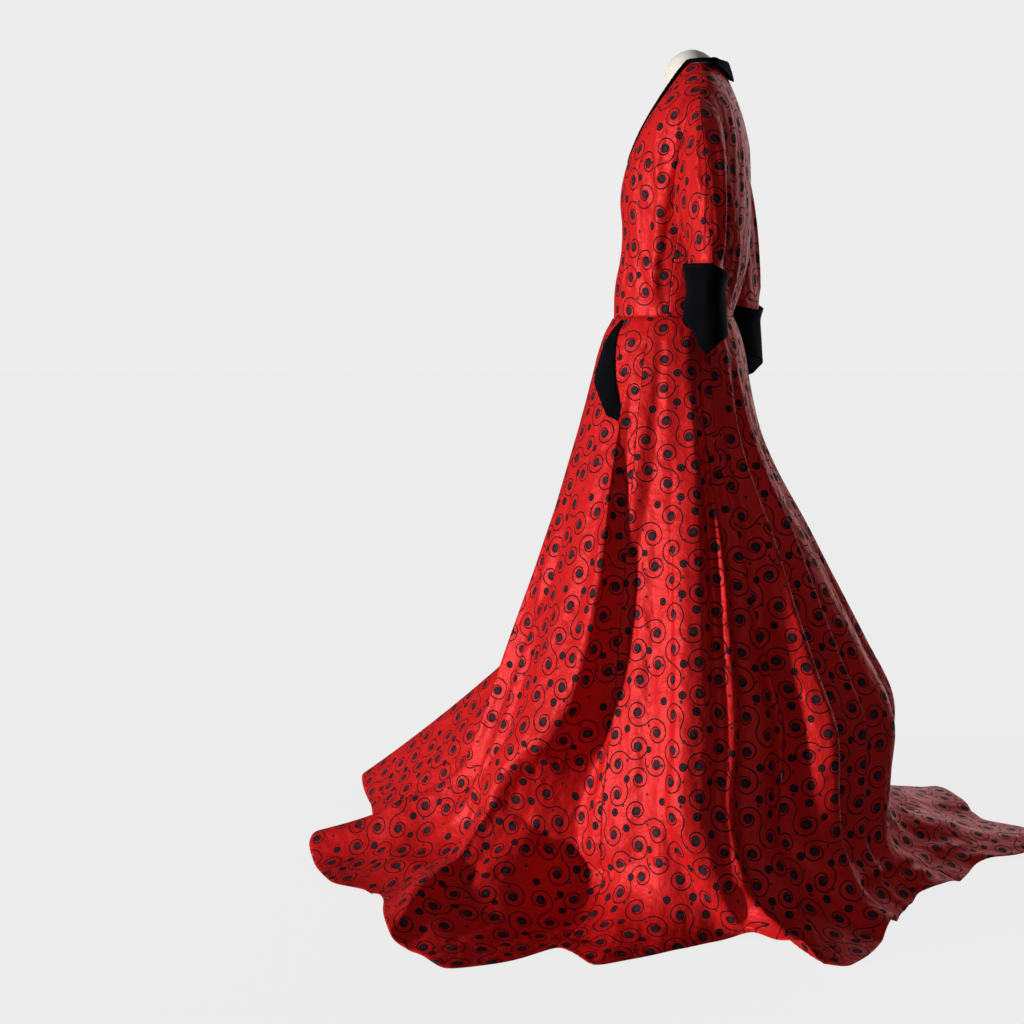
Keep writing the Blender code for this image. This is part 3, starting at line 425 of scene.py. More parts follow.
@dataclass(frozen=True)
class SkirtHang:
    """The skirt's outer surface, by angle and row: row 0 is the waist, 1 the hem.

    At break_row the hanging cloth meets the floor's, and from lean_start on the
    folds turn from outwards to upwards.
    """

    break_row: float = 0.8
    lean_start: float = 0.65
    hem_z: float = 2.6 * MM
    floor_fade: float = 0.7
    floor_ridge: float = 0.75
    inset_growth: float = 3.0
    smoothing: tuple[float, ...] = (-1.5, -0.75, 0.0, 0.75, 1.5)

    def hem_value(self, angle: Array, index: int) -> Array:
        """Read the hem table all round, evened out over a few degrees.

        Args:
            angle: degrees round the body.
            index: number of the column that is read.

        Returns:
            The values.
        """
        start = HEM[0, 0]
        total = 0.0
        weights = 0.0
        for shift in self.smoothing:
            weight = 2.0 - abs(shift)
            turned = np.mod(angle + shift - start, FULL_TURN) + start
            total = total + weight * np.interp(turned, HEM[:, 0], HEM[:, index])
            weights += weight
        return total / weights

    def point(self, angle: Array, row: Array) -> Array:
        """Outer surface with all its folds.

        Args:
            angle: degrees round the body.
            row: share of the way from the waist seam to the hem.

        Returns:
            Points in metres.
        """
        turn = np.radians(angle)
        out = np.stack(np.broadcast_arrays(np.cos(turn), np.sin(turn), 0.0 * row), axis=-1)
        aside = np.stack(np.broadcast_arrays(-np.sin(turn), np.cos(turn), 0.0 * row), axis=-1)
        up = np.zeros_like(out)
        up[..., 2] = 1.0
        break_z, reach, sharp = (self.hem_value(angle, index) for index in (1, 2, 3))
        share = np.clip(row / self.break_row, 0.0, 1.0)
        height = WAIST_Z - (WAIST_Z - break_z) * share
        inset = self.hem_value(angle, 4) * MM * share ** self.inset_growth
        hung = HANG.point(angle, height) - out * inset[..., None]
        start = np.linalg.norm(hung[..., :2], axis=-1)
        spread = np.clip((row - self.break_row) / (1.0 - self.break_row), 0.0, 1.0)
        bend_r = start + (1.0 - sharp) * 0.5 * (reach - start)
        bend_z = self.hem_z + (1.0 - sharp) * 0.5 * (break_z - self.hem_z)
        near = (1.0 - spread) ** 2
        middle = 2.0 * spread * (1.0 - spread)
        far = spread ** 2
        radius = near * start + middle * bend_r + far * reach
        level = near * break_z + middle * bend_z + far * self.hem_z
        slope_r = (1.0 - spread) * (bend_r - start) + spread * (reach - bend_r)
        slope_z = (1.0 - spread) * (bend_z - break_z) + spread * (self.hem_z - bend_z)
        length = np.maximum(np.hypot(slope_r, slope_z), 1e-4)
        point = np.where((row < self.break_row)[..., None], hung,
                         out * radius[..., None] + up * level[..., None])
        turned = np.clip((row - self.lean_start) / (self.break_row - self.lean_start), 0.0, 1.0)
        lean_out = 1.0 - turned * (1.0 + slope_z / length)
        lean_up = turned * slope_r / length
        lift = np.zeros(np.broadcast(angle, row).shape)
        shift = np.zeros_like(lift)
        for fold in MAIN_FOLDS + FINE_FOLDS:
            profile = fold.profile(angle, row)
            lift = lift + fold.peak * MM * profile
            shift = shift + fold.lean * MM * profile
        floor_share = spread ** self.floor_fade
        lift = lift * (1.0 - floor_share) + np.maximum(lift, 0.0) * self.floor_ridge * floor_share
        turned_angle = np.where(angle > HALF_TURN, angle - FULL_TURN, angle)
        for ripple in RIPPLES:
            seen = turned_angle if ripple.angles[0] < 0.0 else angle
            lift = lift + ripple.peak * MM * ripple.profile(seen, row)
        point = (point + out * (lift * lean_out)[..., None] + up * (lift * lean_up)[..., None]
                 + aside * shift[..., None])
        point[..., 2] = np.maximum(point[..., 2], self.hem_z)
        return point


# Share of its height that a crease keeps at its two ends.
CREASE_ENDS = 0.35


@dataclass(frozen=True)
class Crease:
    """A soft ridge or trough between two places of a surface, in millimetres."""

    start: Pair
    end: Pair
    peak: float
    width: float

    def lift(self, first: Array, second: Array, scale: Pair) -> Array:
        """Height of the crease in metres.

        Args:
            first: angles of the points.
            second: heights or rows of the points.
            scale: metres for one unit of each.

        Returns:
            The height at each point.
        """
        size = np.array(scale)
        base = np.array(self.start) * size
        run = np.array(self.end) * size - base
        place = np.stack((first * scale[0], second * scale[1]), axis=-1) - base
        along = np.clip((place @ run) / (run @ run), 0.0, 1.0)
        off = np.linalg.norm(place - along[..., None] * run, axis=-1)
        ends = CREASE_ENDS + (1.0 - CREASE_ENDS) * np.sin(np.pi * along)
        return self.peak * MM * ends * np.exp(-(off / (self.width * MM)) ** 2)


def crease_lift(creases: tuple[Crease, ...], first: Array, second: Array,
                scale: Pair) -> Array:
    """Height of several creases together, never less than nothing.

    Args:
        creases: the creases.
        first: angles of the points.
        second: heights or rows of the points.
        scale: metres for one unit of each.

    Returns:
        The height at each point in metres.
    """
    total = np.zeros(first.shape)
    for crease in creases:
        total = total + crease.lift(first, second, scale)
    return np.maximum(total, 0.0)


def between(points: Array, row: Array, column: Array) -> Array:
    """Points of a grid at places between its rows and columns.

    Args:
        points: rows by columns by any number of values.
        row: rows that are wanted, with fractions.
        column: columns that are wanted, with fractions.

    Returns:
        The values at those places.
    """
    low_row = np.minimum(row.astype(int), points.shape[0] - 2)
    low_column = np.minimum(column.astype(int), points.shape[1] - 2)
    down = (row - low_row)[..., None]
    over = (column - low_column)[..., None]
    first = (points[low_row, low_column] * (1.0 - over)
             + points[low_row, low_column + 1] * over)
    second = (points[low_row + 1, low_column] * (1.0 - over)
              + points[low_row + 1, low_column + 1] * over)
    return first * (1.0 - down) + second * down


@dataclass(frozen=True)
class Flattening:
    """Lays a curved panel flat with as little stretch as can be."""

    rows: int = 30
    columns: int = 20
    samples: int = 7
    rounds: int = 160
    least_length: float = 1e-5
    least_apart: float = 1e-6

    def lengths(self, points: Array, net: Array) -> tuple[Array, Array, Array]:
        """Lengths over the panel along a coarse net and its diagonals.

        Args:
            points: rows by columns by 3.
            net: row and column of each node of the net.

        Returns:
            Number of the first and of the last node, and the length between them.
        """
        number = np.arange(self.rows * self.columns).reshape(self.rows, self.columns)
        pairs = ((number[:, :-1], number[:, 1:]), (number[:-1], number[1:]),
                 (number[:-1, :-1], number[1:, 1:]), (number[:-1, 1:], number[1:, :-1]))
        start = np.concatenate([pair[0].ravel() for pair in pairs])
        end = np.concatenate([pair[1].ravel() for pair in pairs])
        share = np.linspace(0.0, 1.0, self.samples)[:, None, None]
        place = net[start] * (1.0 - share) + net[end] * share
        walked = between(points, place[..., 0], place[..., 1])
        return start, end, np.linalg.norm(np.diff(walked, axis=0), axis=-1).sum(axis=0)

    def first_guess(self, count: int, start: Array, end: Array, length: Array) -> Array:
        """Nodes laid along each row and down the middle column.

        Args:
            count: number of nodes.
            start: number of the first node of each length.
            end: number of its last node.
            length: the lengths in metres.

        Returns:
            Flat places of the nodes.
        """
        flat = np.zeros((count, 2))
        across = dict(zip(zip(start.tolist(), end.tolist()), length.tolist()))
        middle = self.columns // 2
        for i in range(self.rows):
            first = i * self.columns
            if i:
                flat[first + middle] = flat[first + middle - self.columns]
                flat[first + middle, 1] += across[(first + middle - self.columns,
                                                   first + middle)]
            for j in range(middle, self.columns - 1):
                step = across[(first + j, first + j + 1)]
                flat[first + j + 1] = flat[first + j] + np.array((step, 0.0))
            for j in range(middle, 0, -1):
                step = across[(first + j - 1, first + j)]
                flat[first + j - 1] = flat[first + j] - np.array((step, 0.0))
        return flat

    def lay(self, points: Array) -> Array:
        """Flat place of every point of a panel, in metres.

        The nodes are moved until the net's flat lengths fit those over the panel,
        each round solving for all of them together, and the rest is filled in.

        Args:
            points: rows by columns by 3.

        Returns:
            Rows by columns by 2, with the middle column upright.
        """
        deep, wide = points.shape[:2]
        down = np.linspace(0.0, deep - 1.0, self.rows)
        over = np.linspace(0.0, wide - 1.0, self.columns)
        net = np.stack(np.meshgrid(down, over, indexing="ij"), axis=-1).reshape(-1, 2)
        start, end, length = self.lengths(points, net)
        weight = 1.0 / np.maximum(length, self.least_length) ** 2
        count = len(net)
        pulls = np.zeros((count, count))
        np.add.at(pulls, (start, end), -weight)
        pulls = pulls + pulls.T
        pulls[np.arange(count), np.arange(count)] = -pulls.sum(axis=1)
        solved = np.linalg.inv(pulls[1:, 1:])
        flat = self.first_guess(count, start, end, length)
        for _ in range(self.rounds):
            apart = flat[end] - flat[start]
            long = np.maximum(np.linalg.norm(apart, axis=1), self.least_apart)
            pull = apart * (weight * length / long)[:, None]
            load = np.zeros((count, 2))
            np.add.at(load, end, pull)
            np.add.at(load, start, -pull)
            flat[1:] = solved @ load[1:]
            flat[0] = 0.0
        flat = flat.reshape(self.rows, self.columns, 2)
        spine = unit(flat[-1, self.columns // 2] - flat[0, self.columns // 2])
        flat = flat @ np.array(((spine[1], spine[0]), (-spine[0], spine[1])))
        row, column = np.meshgrid(np.arange(deep) * (self.rows - 1.0) / (deep - 1.0),
                                  np.arange(wide) * (self.columns - 1.0) / (wide - 1.0),
                                  indexing="ij")
        return between(flat, row, column)


FLATTENING = Flattening()


def walked_length(points: Array) -> float:
    """Length of a line of points in metres."""
    return float(np.linalg.norm(np.diff(points, axis=0), axis=-1).sum())


def grid_area(points: Array) -> float:
    """Area of a grid of points in square metres."""
    first = points[:-1, :-1] - points[1:, 1:]
    second = points[:-1, 1:] - points[1:, :-1]
    return float(0.5 * np.linalg.norm(np.cross(first, second), axis=-1).sum())


def make_shell(name: str, outer: Array, inner: Array, flat: Array | None = None,
               closed: bool = False) -> Thing:
    """Join an outer and an inner grid of points into one closed piece of cloth.

    Args:
        name: name of the new object.
        outer: points of the side that shows, rows by columns by 3.
        inner: points of the other side, in the same order.
        flat: flat place of each point, for the pattern, or None.
        closed: True when the last column meets the first one.

    Returns:
        The object, with smooth faces that point outwards.
    """
    rows, columns = outer.shape[:2]
    spans = columns if closed else columns - 1
    shift = rows * columns
    place = np.arange(shift).reshape(rows, columns)
    here = place[:, :spans]
    beside = np.roll(place, -1, axis=1)[:, :spans]
    outside = np.stack((here[:-1], beside[:-1], beside[1:], here[1:]), axis=-1).reshape(-1, 4)
    edges = [(beside[0], here[0]), (here[-1], beside[-1])]
    if not closed:
        edges += [(edge[:-1], edge[1:]) for edge in (place[:, 0], place[::-1, -1])]
    rims = [np.stack((start, end, shift + end, shift + start), axis=-1)
            for start, end in edges]
    faces = np.concatenate([outside, shift + outside[:, ::-1], *rims])
    mesh = bpy.data.meshes.new(name)
    points = np.concatenate((outer.reshape(-1, 3), inner.reshape(-1, 3)))
    mesh.from_pydata(points.tolist(), [], faces.tolist())
    if flat is not None:
        corners = np.empty(len(mesh.loops), dtype=np.int32)
        mesh.loops.foreach_get("vertex_index", corners)
        layer = mesh.uv_layers.new(name=UV_NAME)
        layer.uv.foreach_set("vector", flat.reshape(-1, 2)[corners % shift].ravel())
    return add_object(name, mesh)


def link(name: str, data: Any) -> Thing:
    """Make an object of a mesh, lamp or camera and link it to the scene."""
    thing = bpy.data.objects.new(name, data)
    bpy.context.scene.collection.objects.link(thing)
    return thing


def add_object(name: str, mesh: bpy.types.Mesh) -> Thing:
    """Turn a closed mesh's faces outwards, shade it smooth and link it.

    Args:
        name: name of the new object.
        mesh: its mesh.

    Returns:
        The object.
    """
    made = bmesh.new()
    made.from_mesh(mesh)
    bmesh.ops.recalc_face_normals(made, faces=made.faces)
    made.to_mesh(mesh)
    made.free()
    mesh.shade_smooth()
    return link(name, mesh)


def dress(thing: Thing, material: Material, slot: Slot, *nodes: str) -> None:
    """Give a piece its finish and its place in the frame.

    Args:
        thing: the piece.
        material: its finish.
        slot: the record's slot for that finish; not used.
        nodes: CAD nodes that the piece stands for.
    """
    thing.data.materials.clear()
    thing.data.materials.append(material)
    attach(thing, BODY)
    if nodes:
        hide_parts(*nodes)
    LOG.info("piece %s stands for %s", thing.name, ", ".join(nodes) or "nothing")


def flat_size(flat: Array) -> Pair:
    """Width and length of a cut in metres, from its flat places."""
    width, length = np.ptp(flat.reshape(-1, 2), axis=0)
    return float(width), float(length)


def state_cut(thing: Thing, size: Pair, side: Array) -> None:
    """State the cut of a piece of cloth.

    Args:
        thing: the piece.
        size: two lengths of the cut in metres.
        side: points of one of its sides, for the area.
    """
    area = min(grid_area(side), size[0] * size[1])
    LOG.info("cut of %s: %.3f by %.3f m, %.4f m2", thing.name, *size, area)


@dataclass(frozen=True, eq=False)
class Value:
    """A number socket; Python's operators add Math nodes to its shader."""

    shader: "Shader"
    socket: Socket

    def __add__(self, other: Any) -> "Value":
        """Sum."""
        return self.shader.maths("ADD", self, other)

    def __sub__(self, other: Any) -> "Value":
        """Difference."""
        return self.shader.maths("SUBTRACT", self, other)

    def __rsub__(self, other: Any) -> "Value":
        """Difference from a number."""
        return self.shader.maths("SUBTRACT", other, self)

    def __mul__(self, other: Any) -> "Value":
        """Product."""
        return self.shader.maths("MULTIPLY", self, other)

    def __rpow__(self, other: Any) -> "Value":
        """Power of a number."""
        return self.shader.maths("POWER", other, self)

    def __lt__(self, other: Any) -> "Value":
        """1 where it is less, otherwise 0."""
        return self.shader.maths("LESS_THAN", self, other)

    def __or__(self, other: Any) -> "Value":
        """The larger of two masks."""
        return self.shader.maths("MAXIMUM", self, other)

    def near(self, other: Any, distance: float) -> "Value":
        """1 where the two differ by less than the distance, otherwise 0."""
        return self.shader.maths("COMPARE", self, other, distance)

    def clamped(self) -> "Value":
        """Held between 0 and 1."""
        made = self.shader.maths("ADD", self, 0.0)
        made.socket.node.use_clamp = True
        return made


def feed(tree: Tree, socket: Socket, value: Any) -> None:
    """Link an input socket to an output, or set it to a plain value.

    Args:
        tree: the tree of both sockets.
        socket: the input.
        value: a Value, an output socket or a plain value.
    """
    if isinstance(value, Value):
        value = value.socket
    if isinstance(value, Socket):
        tree.links.new(value, socket)
    else:
        socket.default_value = value


def add_node(tree: Tree, kind: str, settings: dict[str, Any],
             inputs: dict[Any, Any]) -> Node:
    """Add a node to a tree.

    Args:
        tree: the node tree.
        kind: the node's type.
        settings: its own settings, set first.
        inputs: values or links of its sockets, by name or number.

    Returns:
        The node.
    """
    node = tree.nodes.new(kind)
    for key, value in settings.items():
        setattr(node, key, value)
    for key, value in inputs.items():
        feed(tree, node.inputs[key], value)
    return node


class Shader:
    """One material and the nodes that feed its Principled shader."""

    def __init__(self, name: str, constants: dict[str, Any]) -> None:
        """Start a material.

        Args:
            name: the material's name.
            constants: values set on the shader's own sockets.
        """
        self.material = bpy.data.materials.new(name)
        self.material.use_nodes = True
        self.tree = self.material.node_tree
        self.surface = self.tree.nodes["Principled BSDF"]
        for socket, value in constants.items():
            self.surface.inputs[socket].default_value = value

    def add(self, kind: str, settings: dict[str, Any], inputs: dict[Any, Any]) -> Node:
        """Add a node to the material, as add_node does."""
        return add_node(self.tree, kind, settings, inputs)

    def maths(self, operation: str, *values: Any) -> Value:
        """Add a Math node on up to three values."""
        node = self.add("ShaderNodeMath", {"operation": operation}, dict(enumerate(values)))
        return Value(self, node.outputs[0])

    def vector(self, operation: str, *values: Any) -> Socket:
        """Add a Vector Math node and give its vector."""
        node = self.add("ShaderNodeVectorMath", {"operation": operation},
                        dict(enumerate(values)))
        return node.outputs["Vector"]

    def length(self, vector: Socket) -> Value:
        """Length of a vector."""
        node = self.add("ShaderNodeVectorMath", {"operation": "LENGTH"}, {0: vector})
        return Value(self, node.outputs["Value"])

    def mix(self, factor: Any, first: Any, second: Any) -> Socket:
        """Mix two colours: inputs 6 and 7 of a colour Mix node are its A and B."""
        node = self.add("ShaderNodeMix", {"data_type": "RGBA"},
                        {0: factor, 6: first, 7: second})
        return node.outputs[2]

    def noise(self, place: Any, scale: float, detail: float = 2.0,
              stretch: Triple = (1.0, 1.0, 1.0)) -> Value:
        """Noise over a place.

        Args:
            place: coordinates of the point.
            scale: waves in a unit of length.
            detail: number of finer layers.
            stretch: factors of the scale along each axis.

        Returns:
            Values from 0 to 1, around a half.
        """
        spread = self.vector("MULTIPLY", place, stretch)
        node = self.add("ShaderNodeTexNoise", {},
                        {"Vector": spread, "Scale": scale, "Detail": detail})
        return Value(self, node.outputs["Fac"])

    def shaken(self, place: Any, scale: float, distance: float) -> Socket:
        """A place moved a little by noise, level with the cloth.

        Args:
            place: coordinates of the point.
            scale: waves in a unit of length.
            distance: how far it is moved, both ways together.

        Returns:
            The moved place.
        """
        node = self.add("ShaderNodeTexNoise", {},
                        {"Vector": place, "Scale": scale, "Detail": 2.0})
        off = self.vector("SUBTRACT", node.outputs["Color"], (0.5, 0.5, 0.5))
        off = self.vector("MULTIPLY", off, (distance, distance, 0.0))
        return self.vector("ADD", place, off)

    def object_place(self) -> Socket:
        """The piece's own coordinates, in metres."""
        return self.add("ShaderNodeTexCoord", {}, {}).outputs["Object"]

    def cut_place(self) -> Socket:
        """The flat place on the cut cloth, in metres."""
        return self.add("ShaderNodeUVMap", {"uv_map": UV_NAME}, {}).outputs["UV"]

    def paint(self, colour: Any, roughness: Any, height: Any, depth: float,
              metallic: Any = 0.0) -> None:
        """Feed the surface.

        Args:
            colour: its base colour.
            roughness: its roughness.
            height: the height that a Bump node turns into a normal.
            depth: metres for one unit of height.
            metallic: how metallic it is.
        """
        bump = self.add("ShaderNodeBump", {}, {"Height": height, "Distance": depth})
        for key, value in (("Base Color", colour), ("Roughness", roughness),
                           ("Metallic", metallic), ("Normal", bump.outputs["Normal"])):
            feed(self.tree, self.surface.inputs[key], value)


@dataclass(frozen=True)
class Spiral:
    """A scroll: its centre and outer radius in millimetres, which way it winds
    outwards (1 against the clock) and the direction in which it ends."""

    x: float
    y: float
    radius: float
    hand: int
    ends: float


@dataclass(frozen=True)
class ScrollPattern:
    """A charted repeat of scrolls that join in pairs, with loose dots between.

    All lengths are in millimetres. A scroll widens by the growth each turn, its
    thread is as wide as the line, and its middle is dark out to the core. A dot
    has its place and radius, with a ring of the coil's thread inside.
    """

    repeat: float = 156.0
    spirals: tuple[Spiral, ...] = (
        Spiral(20, 24, 23.6, 1, 36.4), Spiral(58, 52, 23.6, 1, 216.4),
        Spiral(104, 18, 24.8, -1, 43.4), Spiral(140, 52, 24.8, -1, 223.4),
        Spiral(22, 78, 24.1, -1, 94.8), Spiral(18, 126, 24.1, -1, 274.8),
        Spiral(66, 100, 23.6, 1, -36.4), Spiral(104, 72, 23.6, 1, 143.6),
        Spiral(66, 146, 23.7, -1, -27.6), Spiral(108, 124, 23.7, -1, 152.4),
        Spiral(142, 100, 24, 1, 200),
    )
    dots: tuple[Triple, ...] = (
        (62, 18, 6.8), (84, 44, 6.2), (42, 102, 6.5), (125, 78, 5.6), (40, 150, 6.6),
        (86, 123, 6.0), (-2, 2, 6.4),
        (38, 4, 2.6), (80, 8, 2.4), (124, 40, 2.4), (43, 64, 2.6), (86, 94, 2.6),
        (124, 148, 2.4), (-4, 102, 2.6), (42, 124, 2.2), (124, 104, 2.2),
    )
    growth: float = 2.35
    line: float = 2.1
    core: float = 7.2
    ring: float = 0.8

    def from_centre(self, shader: Shader, place: Any, x: float, y: float) -> Any:
        """Vector from the nearest copy of a charted place.

        Args:
            shader: the material that is being made.
            place: the flat place in millimetres.
            x: millimetres across the chart.
            y: millimetres up the chart.

        Returns:
            The vector in millimetres.
        """
        half = 0.5 * self.repeat
        high = (x + half, y + half, 1.0)
        low = (x - half, y - half, -1.0)
        wrapped = shader.vector("WRAP", place, high, low)
        return shader.vector("SUBTRACT", wrapped, (x, y, 0.0))

    def masks(self, shader: Shader, place: Any) -> tuple[Value, Value]:
        """Masks of the black thread and of the coils inside the dark middles.

        Args:
            shader: the material that is being made.
            place: the flat place in millimetres.

        Returns:
            Two masks, 1 where the thread or the coil is.
        """
        blacks = []
        coils = []
        for spiral in self.spirals:
            away = self.from_centre(shader, place, spiral.x, spiral.y)
            radius = shader.length(away)
            parts = shader.add("ShaderNodeSeparateXYZ", {}, {0: away})
            turn = shader.maths("ARCTAN2", parts.outputs["Y"], parts.outputs["X"])
            last = math.log(spiral.radius, self.growth)
            start = last - spiral.hand * spiral.ends / FULL_TURN
            turns = shader.maths("MULTIPLY_ADD", turn, spiral.hand / math.tau, start)
            winding = shader.maths("LOGARITHM", radius, self.growth)
            turns = turns + shader.maths("ROUND", winding - turns)
            line = radius.near(self.growth ** turns, 0.5 * self.line)
            middle = radius < self.core
            blacks.append((line * (turns < last)) | middle)
            coils.append(line * middle)
        for x, y, size in self.dots:
            radius = shader.length(self.from_centre(shader, place, x, y))
            blacks.append(radius < size)
            coils.append(radius.near(0.5 * size, self.ring))
        return reduce(or_, blacks), reduce(or_, coils)


@dataclass(frozen=True)
class RedSatin:
    """Bright red satin with a woven black scroll pattern.

    Its noise runs over the cut in millimetres. The heights are in millimetres,
    and the roughness of the red is raised by the thread and by the grain.
    """

    bright: Colour = (0.78, 0.013, 0.011, 1.0)
    deep: Colour = (0.55, 0.006, 0.009, 1.0)
    thread: Colour = (0.005, 0.004, 0.007, 1.0)
    coil: Colour = (0.050, 0.026, 0.036, 1.0)
    shine: Colour = (1.0, 0.50, 0.50, 1.0)
    ragged_edge: float = 1.3
    coil_share: float = 0.8
    grain_height: float = 0.05
    thread_height: float = 0.10
    crumple_height: float = 3.4
    pulled_height: float = 9.0
    red_roughness: float = 0.47
    thread_roughness: float = 0.30
    grain_roughness: float = 0.10
    lustre: float = 0.12
    pattern: ScrollPattern = ScrollPattern()

    def make(self) -> Material:
        """Build the material.

        Returns:
            The material.
        """
        shader = Shader(Slot.SATIN.value, {"Specular IOR Level": 0.30,
                                           "Specular Tint": self.shine})
        place = shader.vector("MULTIPLY", shader.cut_place(), (1.0 / MM, 1.0 / MM, 0.0))
        black, coil = self.pattern.masks(shader, shader.shaken(place, 0.45, self.ragged_edge))
        # Painted sheen: the red is lighter in streaks along the grain, standing in for the
        # satin's sheen, mixed half and half with clouds of tone that vary at random.
        sheen_streaks = shader.noise(place, 0.9, 3.0, (0.12, 1.6, 1.0))
        clouds = shader.noise(place, 0.018)
        red = shader.mix(sheen_streaks * 0.5 + clouds * 0.5, self.deep, self.bright)
        dark = shader.mix(coil * self.coil_share, self.thread, self.coil)
        grain = shader.noise(place, 2.2, stretch=(0.5, 1.0, 1.0))
        crumple = shader.noise(place, 0.05, 3.0)
        pulled = shader.noise(place, 0.022, stretch=(1.0, 0.35, 1.0))
        height = (grain * self.grain_height + crumple * self.crumple_height
                  + pulled * self.pulled_height + black * self.thread_height)
        roughness = (black * self.thread_roughness + grain * self.grain_roughness
                     + self.red_roughness)
        shader.paint(shader.mix(black, red, dark), roughness, height, MM,
                     (1.0 - black) * self.lustre)
        return shader.material


@dataclass(frozen=True)
class BlackVelvet:
    """Bluish black velvet with a short nap and lighter streaks painted in as its sheen."""

    pile: Colour = (0.0012, 0.0015, 0.0024, 1.0)
    painted_sheen: Colour = (0.0040, 0.0050, 0.0080, 1.0)

    def make(self) -> Material:
        """Build the material.

        Returns:
            The material.
        """
        shader = Shader(Slot.VELVET.value, {"Specular IOR Level": 0.05, "Sheen Weight": 0.05,
                                            "Sheen Roughness": 0.35,
                                            "Sheen Tint": (0.35, 0.45, 0.75, 1.0)})
        place = shader.object_place()
        nap = shader.noise(place, 900.0)
        brushed = shader.noise(place, 28.0, 3.0, (1.0, 1.0, 0.4))
        # Painted sheen: lighter bluish streaks from the brushed and nap noise, mixed into the
        # black pile colour.
        tone = ((brushed - 0.42) * 2.2 + (nap - 0.5) * 0.5).clamped()
        colour = shader.mix(tone, self.pile, self.painted_sheen)
        shader.paint(colour, brushed * 0.1 + 0.82, nap + brushed * 2.0, 0.4 * MM)
        return shader.material


@dataclass(frozen=True)
class FormCover:
    """Pale stretched cover of the dress form, with a fine weave."""

    light: Colour = (0.86, 0.80, 0.70, 1.0)
    warm: Colour = (0.74, 0.66, 0.54, 1.0)

    def make(self) -> Material:
        """Build the material.

        Returns:
            The material.
        """
        shader = Shader(Slot.COVER.value, {"Specular IOR Level": 0.25, "Sheen Weight": 0.1})
        place = shader.object_place()
        aged = shader.noise(place, 14.0, 3.0)
        weave = (shader.noise(place, 700.0, 1.0, (0.15, 0.15, 1.0))
                 + shader.noise(place, 700.0, 1.0, (1.0, 1.0, 0.12)))
        tone = ((aged - 0.35) * 1.6 + (weave - 1.0) * 0.5).clamped()
        colour = shader.mix(tone, self.light, self.warm)
        shader.paint(colour, weave * 0.1 + 0.66, weave, 0.25 * MM)
        return shader.material


@dataclass(frozen=True)
class StandPaint:
    """Matt black paint on the stand, a little worn."""

    paint: Colour = (0.025, 0.025, 0.027, 1.0)
    worn: Colour = (0.10, 0.095, 0.09, 1.0)

    def make(self) -> Material:
        """Build the material.

        Returns:
            The material.
        """
        shader = Shader(Slot.STAND.value, {"Specular IOR Level": 0.4})
        place = shader.object_place()
        specks = shader.noise(place, 60.0, 4.0)
        fine = shader.noise(place, 400.0)
        wear = ((specks - 0.62) * 9.0).clamped()
        shader.paint(shader.mix(wear, self.paint, self.worn), fine * 0.2 + 0.42, fine,
                     0.15 * MM)
        return shader.material


@dataclass(frozen=True)
class SewingThread:
    """Twisted sewing thread of one colour, with painted shade where it turns in."""

    name: str
    colour: Colour
    slot: Slot
    shade: float = 0.55

    def make(self) -> Material:
        """Build the material.

        Returns:
            The material.
        """
        shader = Shader(self.name, {"Specular IOR Level": 0.3})
        twist = shader.noise(shader.object_place(), 1500.0, 1.0)
        # Painted shade: the thread's colour scaled down by the shade factor where the twist noise
        # is low, as shade where the twist turns in.
        painted_shade = tuple(self.shade * part for part in self.colour[:3]) + (1.0,)
        shader.paint(shader.mix(twist, painted_shade, self.colour), 0.6, twist, 0.1 * MM)
        return shader.material


@dataclass
class Skirt:
    """Six gores from the waist seam to the floor.

    Each gore has its name and its first and last angle. Columns are some degrees
    apart, and closer on the gores that lie within the angles that are seen.
    """

    gores: tuple[tuple[str, float, float], ...] = (
        ("skirt_front_left", -90.0, -15.0), ("skirt_side_left", -15.0, 37.0),
        ("skirt_back_left", 37.0, 88.0), ("skirt_back_right", 88.0, 147.0),
        ("skirt_side_right", 147.0, 209.0), ("skirt_front_right", 209.0, 270.0),
    )
    seen: Pair = (-91.0, 90.0)
    fine_column: float = 0.42
    column: float = 0.75
    hung_rows: int = 118
    floor_rows: int = 64
    seam_dip: float = 0.25 * MM
    floor_gap: float = 0.5 * MM
    hang: SkirtHang = SkirtHang()

    def rows(self) -> Array:
        """Rows of points, closer together on the floor."""
        hung = np.linspace(0.0, self.hang.break_row, self.hung_rows)
        floor = np.linspace(self.hang.break_row, 1.0, self.floor_rows)
        return np.concatenate((hung, floor[1:]))

    def build(self, satin: Material) -> None:
        """Build every gore.

        Args:
            satin: the gown's satin.
        """
        rows = self.rows()
        for name, first, last in self.gores:
            fine = first >= self.seen[0] and last <= self.seen[1]
            count = round((last - first) / (self.fine_column if fine else self.column)) + 1
            step = (last - first) / (count - 1)
            turns = np.linspace(first - step, last + step, count + 2)
            angle, row = np.meshgrid(turns, rows)
            points = self.hang.point(angle, row)
            away = grid_normals(points, -1.0)[:, 1:-1]
            outer = points[:, 1:-1].copy()
            flat = FLATTENING.lay(outer)
            aside = unit(np.diff(points, axis=1))
            outer[:, 0] += aside[:, 0] * 0.5 * SEAM_GAP - away[:, 0] * self.seam_dip
            outer[:, -1] -= aside[:, -1] * 0.5 * SEAM_GAP + away[:, -1] * self.seam_dip
            inner = outer - away * CLOTH
            inner[..., 2] = np.maximum(inner[..., 2], self.floor_gap)
            inner[0, :, 2] = outer[0, :, 2]
            gore = make_shell(f"{name}_cloth", outer, inner, flat)
            dress(gore, satin, Slot.SATIN, name)
            state_cut(gore, flat_size(flat), outer)


